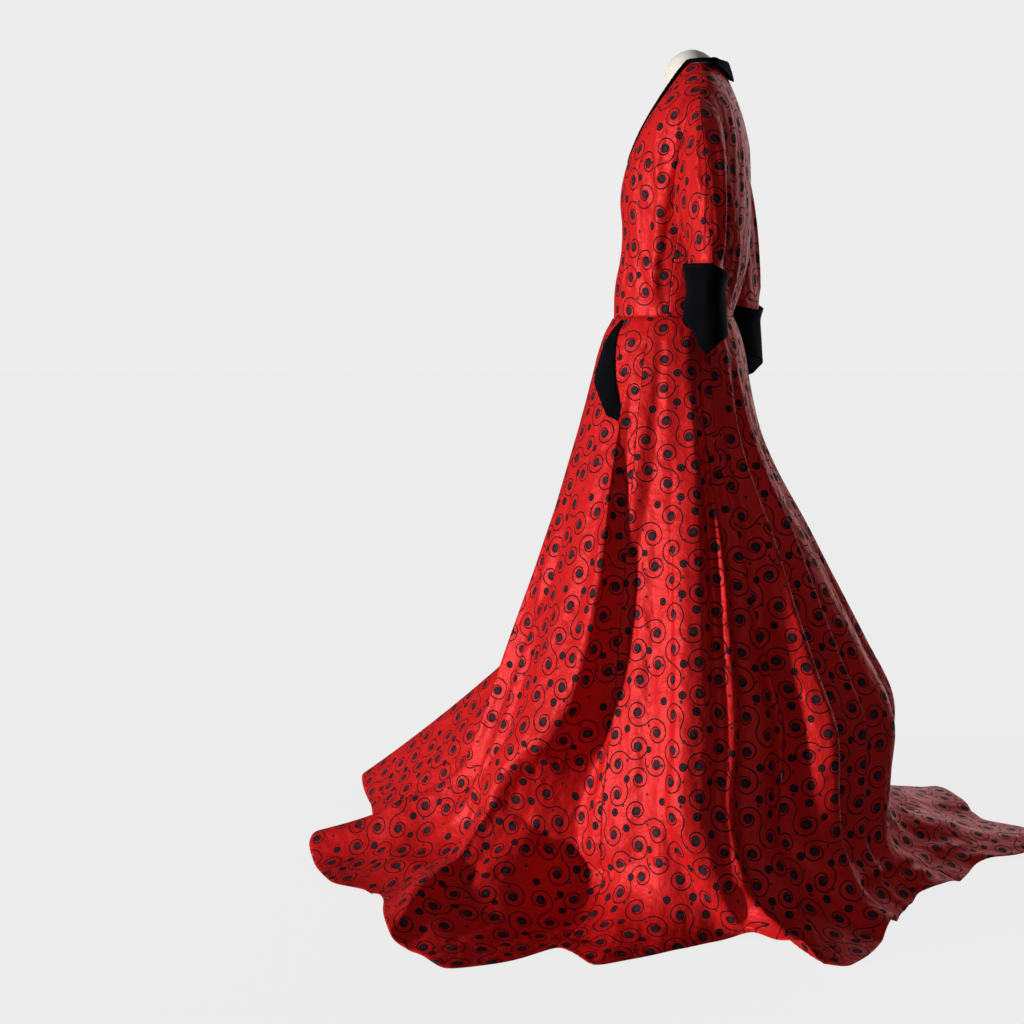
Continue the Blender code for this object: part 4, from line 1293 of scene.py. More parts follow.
# Neckline: height and angle of its edge. Armhole: height, angles of the front's and the
# back's edge.
NECKLINE = np.array((
    (1.200, -89.7), (1.250, -79.6), (1.275, -75.0), (1.300, -68.5),
    (1.325, -58.5), (1.345, -43.0), (1.360, -21.0),
))
ARMHOLE = np.array((
    (1.100, 0.0, 0.0), (1.106, -3.0, 10.0), (1.125, -7.0, 26.0),
    (1.165, -9.0, 38.0), (1.210, -9.0, 41.0), (1.250, -8.0, 37.0),
    (1.275, -6.0, 25.0), (1.287, -3.0, 12.0), (1.292, 0.0, 0.0),
))


@dataclass
class Bodice:
    """Two fronts that meet at centre front and one back across both shoulders."""

    bottom: float = 0.9503
    row_count: int = 120
    front_columns: int = 96
    back_columns: int = 190
    crowding: float = 1.25
    calm: float = 12.0 * MM
    scale: Pair = (0.0024, 1.0)
    front_creases: tuple[Crease, ...] = (
        Crease((-36, 1.285), (-30, 1.225), 2.6, 7), Crease((-30, 1.225), (-17, 1.150), 3.2, 8),
        Crease((-17, 1.290), (-14, 1.235), 2.2, 6), Crease((-50, 1.290), (-46, 1.190), 2, 8),
        Crease((-24, 1.270), (-23, 1.170), 1.8, 5), Crease((-12, 1.230), (-12, 1.050), 3.4, 7),
        Crease((-37, 1.168), (-25, 1.125), 2.6, 6), Crease((-34, 1.066), (-9, 0.992), 3.4, 6),
        Crease((-25, 1.060), (-4, 1.012), 3.2, 5), Crease((-30, 1.040), (-8, 0.972), 2.6, 5),
        Crease((-22, 1.095), (-20, 1.055), 2.4, 5), Crease((-45, 1.060), (-30, 0.990), 2.2, 6),
        Crease((-56, 1.080), (-50, 0.975), 2, 7), Crease((-66, 1.070), (-64, 0.965), 1.6, 7),
        Crease((-76, 1.050), (-77, 0.965), 1.2, 6), Crease((-58, 1.150), (-62, 1.090), 1.6, 8),
        Crease((-18, 1.185), (-14, 0.985), 9, 11), Crease((-40, 1.110), (-37, 1.070), 2, 5),
    )
    back_creases: tuple[Crease, ...] = (
        Crease((20, 1.060), (38, 0.975), 2.6, 6), Crease((30, 1.090), (52, 0.985), 2.4, 6),
        Crease((50, 1.320), (55, 1.150), 2.4, 9), Crease((66, 1.300), (70, 1.120), 2, 9),
        Crease((60, 1.100), (72, 0.970), 2.4, 7), Crease((84, 1.060), (86, 0.965), 1.6, 7),
        Crease((42, 1.180), (58, 1.080), 2.4, 8), Crease((100, 1.070), (96, 0.970), 1.8, 7),
        Crease((112, 1.290), (108, 1.140), 2.2, 9), Crease((128, 1.310), (122, 1.160), 2.4, 9),
        Crease((138, 1.170), (120, 1.070), 2.4, 8), Crease((150, 1.080), (132, 0.980), 2.6, 6),
        Crease((162, 1.060), (146, 0.975), 2.4, 6), Crease((118, 1.090), (110, 0.975), 2.2, 7),
    )

    def edge(self, heights: Array, index: int) -> Array:
        """Angle of the side edge: the side seam, or the armhole above it.

        Args:
            heights: heights of the rows.
            index: column of ARMHOLE, 1 for a front and 2 for the back.

        Returns:
            Degrees round the body.
        """
        gap = np.degrees(0.5 * SEAM_GAP / smooth_read(FIGURE.rows, heights, 1))
        hole = np.interp(heights, ARMHOLE[:, 0], ARMHOLE[:, index])
        inside = (heights > UNDERARM_Z) & (heights < SHOULDER_Z)
        sign = -1.0 if index == 1 else 1.0
        return sign * np.where(inside, np.maximum(sign * hole, gap), gap)

    def panel(self, low: Array, high: Array, heights: Array, columns: int,
              creases: tuple[Crease, ...]) -> tuple[Array, Array, Array]:
        """Points and flat places of a panel between two edges.

        Args:
            low: angle of the first edge at each height.
            high: angle of the last edge.
            heights: heights of the rows.
            columns: number of points in a row.
            creases: soft folds of the panel.

        Returns:
            Outer points, inner points and flat places.
        """
        share = np.linspace(0.0, 1.0, columns)
        angle = low[:, None] + (high - low)[:, None] * share
        height = np.repeat(heights[:, None], columns, axis=1)
        base = FIGURE.point(angle, height)
        away = surface_normals(FIGURE.point, angle, np.minimum(height, NECK_EDGE_Z), 1.0)
        lift = crease_lift(creases, angle, height, self.scale)
        lift = lift * np.clip((height - self.bottom) / self.calm, 0.0, 1.0)
        outer = base + away * (BODY_GAP + WALL + lift)[..., None]
        outer[0, :, 2] = self.bottom
        inner = outer - grid_normals(outer, 1.0) * CLOTH
        inner[0, :, 2] = self.bottom
        return outer, inner, FLATTENING.lay(outer)

    def heights(self) -> Array:
        """Heights of the rows, closer together at the top."""
        share = 1.0 - (1.0 - np.linspace(0.0, 1.0, self.row_count)) ** self.crowding
        return self.bottom + (NECK_EDGE_Z - self.bottom) * share

    def build(self, satin: Material) -> None:
        """Build the three panels.

        Args:
            satin: the gown's satin.
        """
        heights = self.heights()
        gap = np.degrees(0.5 * SEAM_GAP / smooth_read(FIGURE.rows, heights, 1))
        neck = np.interp(heights, NECKLINE[:, 0], NECKLINE[:, 1])
        centre = np.where(heights > V_POINT_Z, neck, -90.0 + gap)
        outer, inner, flat = self.panel(centre, self.edge(heights, 1), heights,
                                        self.front_columns, self.front_creases)
        for side in Side:
            shown = on_side(outer, side)
            name = f"bodice_front_{side.value}"
            front = make_shell(f"{name}_cloth", shown, on_side(inner, side), flat)
            dress(front, satin, Slot.SATIN, name)
            state_cut(front, flat_size(flat), shown)
        low = self.edge(heights, 2)
        outer, inner, flat = self.panel(low, HALF_TURN - low, heights, self.back_columns,
                                        self.back_creases)
        back = make_shell("bodice_back_cloth", outer, inner, flat)
        dress(back, satin, Slot.SATIN, "bodice_back")
        state_cut(back, flat_size(flat), outer)


# Rims of the cuff: turn (0 outside the arm, 90 its front), upper and lower rim in
# millimetres above the sleeve's end.
CUFF_RIMS = np.array((
    (0.0, 2.0, -130.0), (15.0, 2.0, -133.0), (45.0, 3.0, -102.0), (75.0, 4.0, -85.0),
    (90.0, 5.0, -80.0), (135.0, 2.0, -90.0), (180.0, -4.0, -99.0), (225.0, -10.0, -98.0),
    (270.0, -15.0, -101.0), (315.0, -10.0, -111.0), (345.0, -3.0, -121.0),
    (360.0, 2.0, -130.0),
))


@dataclass
class Sleeves:
    """Both sleeves, each a front and a back half, with their velvet cuffs.

    The left sleeve is worked out; the right one is its mirror image, with its
    end moved by an offset. A sleeve leaves the armhole in one direction under
    the arm and in another over it, and ends straight down.
    """

    cuff_centre: Triple = (0.215, 0.070, 1.026)
    outward: Triple = (0.966, 0.259, 0.0)
    forward: Triple = (0.259, -0.966, 0.0)
    half_width: float = 0.058
    half_depth: float = 0.026
    tuck: float = 0.042
    cuff_flare: float = 4.5 * MM
    cuff_stand: float = 1.35
    cuff_gap: float = 0.45 * MM
    cuff_columns: int = 72
    cuff_rows: int = 30
    grip: float = 8.0 * MM
    right_offset: Triple = (0.0, 0.016, -0.046)
    leave_under: Triple = (0.55, 0.12, -0.80)
    leave_over: Triple = (0.92, 0.15, -0.55)
    armhole_inset: float = 0.985
    armhole_margin: float = 0.5 * MM
    armhole_gap: float = 0.2 * MM
    calm: float = 0.08
    seam: float = 0.25
    columns: int = 110
    row_count: int = 110
    scale: Pair = (0.0009, 0.25)
    creases: tuple[Crease, ...] = (
        Crease((24, 0.10), (30, 0.75), 2.2, 7), Crease((60, 0.20), (75, 0.90), 2.6, 8),
        Crease((100, 0.15), (95, 0.80), 2.4, 8), Crease((140, 0.30), (130, 0.95), 2.2, 7),
        Crease((8, 0.55), (30, 0.98), 2, 5), Crease((345, 0.50), (335, 0.98), 2.2, 6),
        Crease((325, 0.25), (318, 0.85), 2.4, 7), Crease((295, 0.15), (285, 0.90), 2.4, 8),
        Crease((260, 0.30), (255, 0.95), 2.2, 7), Crease((220, 0.25), (232, 0.90), 2, 8),
        Crease((42, 0.45), (20, 0.62), 1.8, 6), Crease((326, -0.10), (318, 1.15), 9, 10),
    )
    cuff_scale: Pair = (0.0008, 0.11)
    cuff_creases: tuple[Crease, ...] = (
        Crease((12, 0.05), (20, 0.95), 1.6, 7), Crease((60, 0.10), (48, 0.70), 1.2, 8),
        Crease((335, 0.25), (350, 0.90), 1.2, 7), Crease((290, 0.05), (300, 0.85), 1.3, 8),
        Crease((130, 0.20), (150, 0.90), 1.2, 9), Crease((225, 0.10), (215, 0.80), 1.3, 9),
    )

    def armhole(self, turn: Array, offset: float) -> Array:
        """Point of the armhole, 0 at the shoulder, half a turn at the underarm.

        Args:
            turn: radians round the armhole.
            offset: metres out from the figure.

        Returns:
            Points in metres.
        """
        middle = 0.5 * (SHOULDER_Z + UNDERARM_Z)
        half = 0.5 * (SHOULDER_Z - UNDERARM_Z) - self.armhole_margin
        height = middle + half * np.cos(turn)
        front = np.interp(height, ARMHOLE[:, 0], ARMHOLE[:, 1])
        back = np.interp(height, ARMHOLE[:, 0], ARMHOLE[:, 2])
        angle = np.where(np.sin(turn) > 0.0, front, back) * self.armhole_inset
        away = surface_normals(FIGURE.point, angle, height, 1.0)
        return FIGURE.point(angle, height) + away * offset

    def end(self, turn: Array, height: Array) -> Array:
        """Lower end of the sleeve tube, carried straight down to a height.

        Args:
            turn: radians round the sleeve.
            height: metres above the floor.

        Returns:
            Points in metres.
        """
        across = np.array(self.outward) * (self.half_width * np.cos(turn))[..., None]
        through = np.array(self.forward) * (self.half_depth * np.sin(turn))[..., None]
        point = np.array(self.cuff_centre) + across + through
        point[..., 2] = height
        return point

    def point(self, degrees: Array, row: Array) -> Array:
        """Outer surface of the left sleeve; row 0 is the armhole, 1 its end.

        Args:
            degrees: turn round the sleeve.
            row: share of the way down.

        Returns:
            Points in metres.
        """
        turn = np.radians(degrees)
        top = self.armhole(turn, BODY_GAP + WALL + self.armhole_gap)
        end = self.end(turn, self.cuff_centre[2] + 0.0 * turn)
        reach = np.linalg.norm(end - top, axis=-1, keepdims=True)
        over = (0.5 + 0.5 * np.cos(turn))[..., None]
        leave = np.array(self.leave_under) * (1.0 - over) + np.array(self.leave_over) * over
        step = np.clip(row, 0.0, 1.0)[..., None]
        from_top = 2.0 * step ** 3 - 3.0 * step ** 2 + 1.0
        along_leave = step ** 3 - 2.0 * step ** 2 + step
        along_hang = step ** 3 - step ** 2
        point = (from_top * top + along_leave * leave * reach
                 + (1.0 - from_top) * end + along_hang * np.array((0.0, 0.0, -1.0)) * reach)
        point[..., 2] -= np.maximum(row - 1.0, 0.0)
        return point

    def cuff(self, degrees: Array, row: Array) -> Array:
        """Inner surface of the left cuff; row 0 is the top rim, 1 the lower one.

        Args:
            degrees: turn round the sleeve.
            row: share of the way down.

        Returns:
            Points in metres.
        """
        turn = np.radians(degrees)
        centre_z = self.cuff_centre[2]
        top = centre_z + smooth_read(CUFF_RIMS, degrees, 1) * MM
        low = centre_z + smooth_read(CUFF_RIMS, degrees, 2) * MM
        height = top + (low - top) * row
        grip = (centre_z - self.tuck + self.grip - top) / (low - top)
        away = np.where(row < grip, (grip - row) / grip, (row - grip) / (1.0 - grip))
        stand = self.cuff_gap + self.cuff_flare * away ** 1.5
        point = self.end(turn, height)
        point += np.array(self.outward) * (stand * np.cos(turn))[..., None]
        point += np.array(self.forward) * (stand * self.cuff_stand * np.sin(turn))[..., None]
        return point

    def cuff_away(self, degrees: Array) -> Array:
        """Unit normals of the left cuff, level and straight out of it."""
        turn = np.radians(degrees)[..., None]
        return unit(np.cos(turn) * np.array(self.outward) / self.half_width
                    + np.sin(turn) * np.array(self.forward) / self.half_depth)

    def placed(self, points: Array, side: Side, share: Array) -> Array:
        """Bring points to their own side, moved by a share of its offset.

        Args:
            points: points of the left sleeve or cuff.
            side: the side that they go to.
            share: share of the offset for each point.

        Returns:
            Points in metres.
        """
        if side is Side.LEFT:
            return points
        return mirrored(points + share[..., None] * np.array(self.right_offset))

    def build_half(self, side: Side, half: str, first: float, satin: Material) -> None:
        """Build the front or the back half of one sleeve.

        Args:
            side: side of the wearer.
            half: front or back, for the names.
            first: turn in degrees at which the half begins.
            satin: the gown's satin.
        """
        edge = np.linspace(first + self.seam, first + HALF_TURN - self.seam, self.columns)
        rows = np.concatenate((np.linspace(0.0, 1.0, self.row_count), (1.0 + self.tuck,)))
        degrees, row = np.meshgrid(edge, rows)
        base = self.point(degrees, row)
        away = grid_normals(base, 1.0)
        lift = crease_lift(self.creases, degrees, row, self.scale)
        lift = lift * np.clip(row / self.calm, 0.0, 1.0)
        lift = lift * np.clip((1.0 - row) / self.calm, 0.0, 1.0)
        outer = base + away * lift[..., None]
        inner = outer - away * CLOTH
        flat = FLATTENING.lay(outer)
        share = np.clip(row, 0.0, 1.0) ** 2
        name = f"sleeve_{half}_{side.value}"
        shown = self.placed(outer, side, share)
        piece = make_shell(f"{name}_cloth", shown, self.placed(inner, side, share), flat)
        dress(piece, satin, Slot.SATIN, name)
        state_cut(piece, flat_size(flat), shown)

    def build_cuff(self, side: Side, velvet: Material) -> None:
        """Build one turned-back velvet cuff, a tube round the sleeve's end.

        Args:
            side: side of the wearer.
            velvet: the trims' velvet.
        """
        turns = np.linspace(0.0, FULL_TURN, self.cuff_columns, endpoint=False)
        degrees, row = np.meshgrid(turns, np.linspace(0.0, 1.0, self.cuff_rows))
        inner = self.cuff(degrees, row)
        lift = crease_lift(self.cuff_creases, degrees, row, self.cuff_scale)
        outer = inner + self.cuff_away(degrees) * (VELVET + lift)[..., None]
        share = np.ones(degrees.shape)
        name = f"cuff_{side.value}"
        shown = self.placed(outer, side, share)
        piece = make_shell(f"{name}_velvet", shown, self.placed(inner, side, share),
                           closed=True)
        dress(piece, velvet, Slot.VELVET, name)
        size = walked_length(shown[self.cuff_rows // 2]), walked_length(shown[:, 0])
        round_it = np.concatenate((shown, shown[:, :1]), axis=1)
        state_cut(piece, size, round_it)

    def build(self, satin: Material, velvet: Material) -> None:
        """Build both sleeves and their cuffs.

        Args:
            satin: the gown's satin.
            velvet: the trims' velvet.
        """
        for side in Side:
            self.build_half(side, "front", 0.0, satin)
            self.build_half(side, "back", HALF_TURN, satin)
            self.build_cuff(side, velvet)


# Collar: share of the way to the nape, leaf, roll, fall and stand in millimetres. The
# leaf lies inside the neckline, the roll stands above it and the fall lies outside.
COLLAR = np.array((
    (0.00, 2.2, 3.2, 11.0, 0.0),
    (0.12, 2.2, 3.4, 19.0, 0.0),
    (0.30, 2.2, 3.4, 20.0, 0.0),
    (0.46, 2.2, 3.4, 12.0, 0.0),
    (0.62, 1.6, 2.2, 3.5, 0.0),
    (0.72, 1.8, 2.6, 5.0, 0.4),
    (0.84, 2.8, 5.0, 18.0, 2.5),
    (1.00, 3.5, 7.0, 28.0, 6.0),
))
# Lines of its middle layer that stand above the edge: shares of leaf and roll,
# millimetres off the bodice's inside, shares of clearance, stand and lumps.
RAISED_LINES = (
    (0.15, 0.0, 0.35, 0.0, 0.0, 0.0), (1.0, 0.0, 0.5, 0.0, 0.0, 0.0),
    (0.0, 1.0, 1.85, 0.0, 0.4, 1.0), (0.0, 0.55, 0.7, 1.0, 0.9, 1.0),
)
# Lines that lie outside: share of the fall, millimetres off, shares of stand and lumps.
FALLEN_LINES = (
    (0.12, 0.2, 1.0, 0.0), (0.33, 0.1, 0.9, 1.0), (0.55, 0.1, 0.8, 0.0),
    (0.78, 0.1, 0.5, 1.0), (1.0, 0.1, 0.25, 0.0),
)


@dataclass
class Collar:
    """Velvet collar: a narrow turned edge down the V and a soft roll at the nape.

    Start is how far above the V point it begins. Upright and clear are the shares
    of the way over which it comes to rise straight up and to stand clear of the
    bodice. A lump has its size in millimetres, its rate and its phase.
    """

    start: float = 0.013
    front_points: int = 26
    back_points: int = 20
    walk_points: int = 25
    walk_steps: int = 8
    upright: Pair = (0.55, 0.75)
    clear: Pair = (0.30, 0.45)
    clear_most: float = 2.2 * MM
    nape_stand: float = 0.8 * MM
    below_edge: float = 4e-4
    rounding: int = 2
    lumps: tuple[Triple, ...] = ((0.9, 47.0, 0.0), (0.6, 83.0, 1.3))

    def path(self) -> tuple[Array, Array, Array]:
        """Points of the neckline from the V point to the nape.

        Returns:
            Their angles, heights and shares of the way.
        """
        heights = np.linspace(V_POINT_Z + self.start, NECK_EDGE_Z, self.walk_points)
        turns = np.interp(heights, NECKLINE[:, 0], NECKLINE[:, 1])
        front = np.stack((turns, heights), axis=1)
        turns = np.linspace(front[-1, 0], 90.0, self.back_points)[1:]
        back = np.stack((turns, np.full(len(turns), NECK_EDGE_Z)), axis=1)
        walked = self.walked(front)
        even = np.linspace(0.0, walked[-1], self.front_points)
        front = np.stack([np.interp(even, walked, front[:, k]) for k in (0, 1)], axis=1)
        raw = np.concatenate((front, back))
        walked = self.walked(raw)
        return raw[:, 0], raw[:, 1], walked / walked[-1]

    def walked(self, raw: Array) -> Array:
        """Length walked over the figure along angles and heights."""
        points = FIGURE.point(raw[:, 0], raw[:, 1])
        steps = np.linalg.norm(np.diff(points, axis=0), axis=1)
        return np.concatenate(((0.0,), np.cumsum(steps)))

    def stepped(self, angle: Array, height: Array, aside: Array,
                distance: Array) -> tuple[Array, Array]:
        """Walk a distance over the figure, away from the neckline.

        Args:
            angle: angles of the starting points.
            height: their heights.
            aside: unit vectors of the way to go.
            distance: how far to go in metres.

        Returns:
            Angles and heights of the points that are reached.
        """
        moved_angle, moved_height = angle.copy(), height.copy()
        turn, rise = 0.5, 0.001
        for _ in range(self.walk_steps):
            here = FIGURE.point(moved_angle, moved_height)
            by_angle = (FIGURE.point(moved_angle + turn, moved_height) - here) / turn
            by_height = (FIGURE.point(moved_angle, moved_height + rise) - here) / rise
            piece = aside * (distance / self.walk_steps)[..., None]
            grid = np.stack((by_angle, by_height), axis=-1)
            answer = np.einsum("...ij,...j->...i", np.linalg.pinv(grid), piece)
            moved_angle = moved_angle + answer[..., 0]
            moved_height = moved_height + answer[..., 1]
        return moved_angle, moved_height

    def lines(self) -> tuple[Array, Array]:
        """Lines of the left half's middle layer, from the inside out.

        Returns:
            The points of the lines, and unit vectors along the neckline.
        """
        angle, height, share = self.path()
        edge = FIGURE.point(angle, height)
        along = unit(np.gradient(edge, axis=0))
        away = surface_normals(FIGURE.point, angle, height - self.below_edge, 1.0)
        up = np.cross(away, along)
        up *= np.sign(up[:, 2:3])
        upright = ramp(share, *self.upright)
        rise_way = up * (1.0 - upright)[:, None]
        rise_way[:, 2] += upright
        rise_way = unit(rise_way)
        leaf, roll, fall, stand = (smooth_read(COLLAR, share, k) * MM for k in (1, 2, 3, 4))
        half = 0.5 * VELVET
        clear = WALL + SEAM_GAP + half + self.clear_most * ramp(share, *self.clear)
        lumps = MM * upright * sum(size * np.sin(share * rate + phase)
                                   for size, rate, phase in self.lumps)
        lines = []
        for leaf_share, roll_share, off, clear_share, stand_share, lump_share in RAISED_LINES:
            rise = SEAM_GAP + half + leaf * leaf_share + roll * roll_share + lumps * lump_share
            lift = BODY_GAP + off * MM + clear * clear_share + stand * stand_share
            lines.append(edge + rise_way * rise[:, None] + away * lift[:, None])
        for fall_share, off, stand_share, lump_share in FALLEN_LINES:
            turned, risen = self.stepped(angle, height, -up, fall * fall_share)
            out = surface_normals(FIGURE.point, turned, np.minimum(risen, NECK_EDGE_Z), 1.0)
            lift = BODY_GAP + off * MM + clear + stand * stand_share
            lift = lift + np.abs(lumps) * lump_share
            if fall_share == 1.0:
                lift = lift + self.nape_stand * upright
            lines.append(FIGURE.point(turned, risen) + out * lift[:, None])
        return np.stack(lines), along

    def whole(self, half: Array) -> Array:
        """Both halves of the collar, joined at the nape."""
        return np.concatenate((half, mirrored(half[:, ::-1])[:, 1:]), axis=1)

    def build(self, velvet: Material) -> None:
        """Build the collar, and state its cut from its first outer line.

        Args:
            velvet: the trims' velvet.
        """
        lines, along = self.lines()
        flow = np.gradient(lines, axis=0)
        aside = unit(np.cross(flow, np.broadcast_to(along, lines.shape))) * 0.5 * VELVET
        collar = make_shell("collar_velvet", self.whole(lines + aside),
                            self.whole(lines - aside))
        rounder = collar.modifiers.new("Round", "SUBSURF")
        rounder.levels = rounder.render_levels = self.rounding
        dress(collar, velvet, Slot.VELVET, "collar")
        middle = self.whole(lines)
        size = walked_length(middle[len(RAISED_LINES)]), walked_length(lines[:, -1])
        state_cut(collar, size, middle)


@dataclass
class Pockets:
    """Leaf-shaped velvet pockets on the two front gores.

    Top and low are rows of the skirt. Each row of the shape has the share of the
    pocket's depth, its middle angle and its half width in degrees. The rim is
    the share of the velvet's thickness that is left at the edges.
    """

    top: float = 0.004
    low: float = 0.158
    stand: float = 0.9 * MM
    rim: float = 0.55
    rows: int = 34
    columns: int = 25
    shape: tuple[Triple, ...] = (
        (0.00, -45.0, 1.0), (0.12, -48.2, 5.2), (0.30, -50.0, 9.0), (0.50, -49.2, 11.8),
        (0.64, -47.5, 13.2), (0.80, -39.0, 9.0), (0.90, -34.5, 7.0), (1.00, -31.5, 3.4),
    )
    hang: SkirtHang = SkirtHang()

    def build(self, velvet: Material) -> None:
        """Build both pockets.

        Args:
            velvet: the trims' velvet.
        """
        share, across = np.meshgrid(np.linspace(0.0, 1.0, self.rows),
                                    np.linspace(-1.0, 1.0, self.columns), indexing="ij")
        row = self.top + (self.low - self.top) * share
        table = np.array(self.shape)
        left = smooth_read(table, share, 1) + smooth_read(table, share, 2) * across
        full = 1.0 - np.maximum(np.abs(across) ** 6, np.abs(2.0 * share - 1.0) ** 10)
        thick = VELVET * (self.rim + (1.0 - self.rim) * full)
        for side, angle in ((Side.LEFT, left), (Side.RIGHT, HALF_TURN - left)):
            base = self.hang.point(angle, row)
            away = surface_normals(self.hang.point, angle, row, -1.0)
            low = base + away * self.stand
            high = low + away * thick[..., None]
            name = f"pocket_{side.value}"
            pocket = make_shell(f"{name}_velvet", high, low)
            dress(pocket, velvet, Slot.VELVET, name)
            flat = FLATTENING.lay(high)
            state_cut(pocket, flat_size(flat), high)


@dataclass
class DressForm:
    """Limbless form: torso and neck under a pale cover, on its pole and base.

    Rounding is the share of the lowest ring and its drop in metres, for the
    rings below it, and crown is the share of the highest ring and its rise in
    millimetres. The cover has a groove at each of its seams, in degrees. The
    throat is the neck's half width, half depth and middle, and over the heights
    of the cap the torso passes into the neck.
    """

    bottom: float = 0.705
    shrink: float = 0.5 * MM
    columns: int = 128
    ring_count: int = 150
    rounding: tuple[Pair, ...] = ((0.80, 0.020), (0.90, 0.0165), (0.97, 0.009))
    crown: tuple[Pair, ...] = ((0.7, 0.9), (0.4, 1.5), (0.12, 1.8))
    seams: tuple[float, ...] = (-90.0, -48.0, 0.0, 52.0, 90.0, 128.0, 180.0, 228.0)
    groove: float = 0.5 * MM
    groove_width: float = 1.2
    throat: Triple = (0.0500, 0.0430, 0.0180)
    throat_from: float = 1.24
    throat_blend: float = 0.02
    cap: Pair = (1.352, 1.364)

    def with_throat(self, rings: Array) -> Array:
        """Push points out to the neck where the neck stands out of the figure.

        Args:
            rings: rows by columns by 3.

        Returns:
            The moved points.
        """
        half_width, half_depth, middle = self.throat
        off = rings - np.array((0.0, middle, 0.0))
        ratio = 1.0 / np.hypot(off[..., 0] / half_width, off[..., 1] / half_depth)
        grown = 1.0 + self.throat_blend * np.logaddexp(0.0, (ratio - 1.0) / self.throat_blend)
        grown = np.where(rings[..., 2] > self.throat_from, grown, 1.0)
        off[..., :2] *= grown[..., None]
        return off + np.array((0.0, middle, 0.0))

    def build(self, cover: Material, stand: Material) -> None:
        """Build the torso and finish the stand's own solids.

        Args:
            cover: the form's cloth.
            stand: the stand's paint.
        """
        angle = np.linspace(-90.0, 270.0, self.columns, endpoint=False)
        heights = np.linspace(self.bottom, NECK.rows[-1, 0], self.ring_count)
        turn, level = np.meshgrid(angle, heights)
        rings = FIGURE.point(turn, level)
        away = surface_normals(FIGURE.point, turn, np.minimum(level, NECK_EDGE_Z), 1.0)
        away[..., 2] = 0.0
        sunk = np.zeros(turn.shape)
        for seam in self.seams:
            sunk = sunk + np.exp(-(short_way(turn - seam) / self.groove_width) ** 2)
        rings = self.with_throat(rings - away * (self.shrink + self.groove * sunk)[..., None])
        capped = ramp(level, *self.cap)[..., None]
        rings = rings * (1.0 - capped) + NECK.point(turn, level) * capped
        below = []
        for share, drop in self.rounding:
            ring = rings[0] * np.array((share, share, 1.0))
            ring[:, 2] -= drop
            below.append(ring)
        top = rings[-1]
        middle = top.mean(axis=0)
        above = [middle + (top - middle) * share + np.array((0.0, 0.0, rise * MM))
                 for share, rise in self.crown]
        stack = np.stack(below + list(rings) + above)
        rows, columns = stack.shape[:2]
        place = np.arange(rows * columns).reshape(rows, columns)
        beside = np.roll(place, -1, axis=1)
        faces = np.stack((place[:-1], beside[:-1], beside[1:], place[1:]), axis=-1)
        mesh = bpy.data.meshes.new("form_torso_cover")
        mesh.from_pydata(stack.reshape(-1, 3).tolist(), [],
                         faces.reshape(-1, 4).tolist()
                         + [place[0][::-1].tolist(), place[-1].tolist()])
        torso = add_object("form_torso_cover", mesh)
        dress(torso, cover, Slot.COVER, "form_torso")
        for name in ("form_pole", "form_base"):
            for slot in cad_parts[name].material_slots:
                slot.material = stand
            LOG.info("node %s keeps its solid", name)


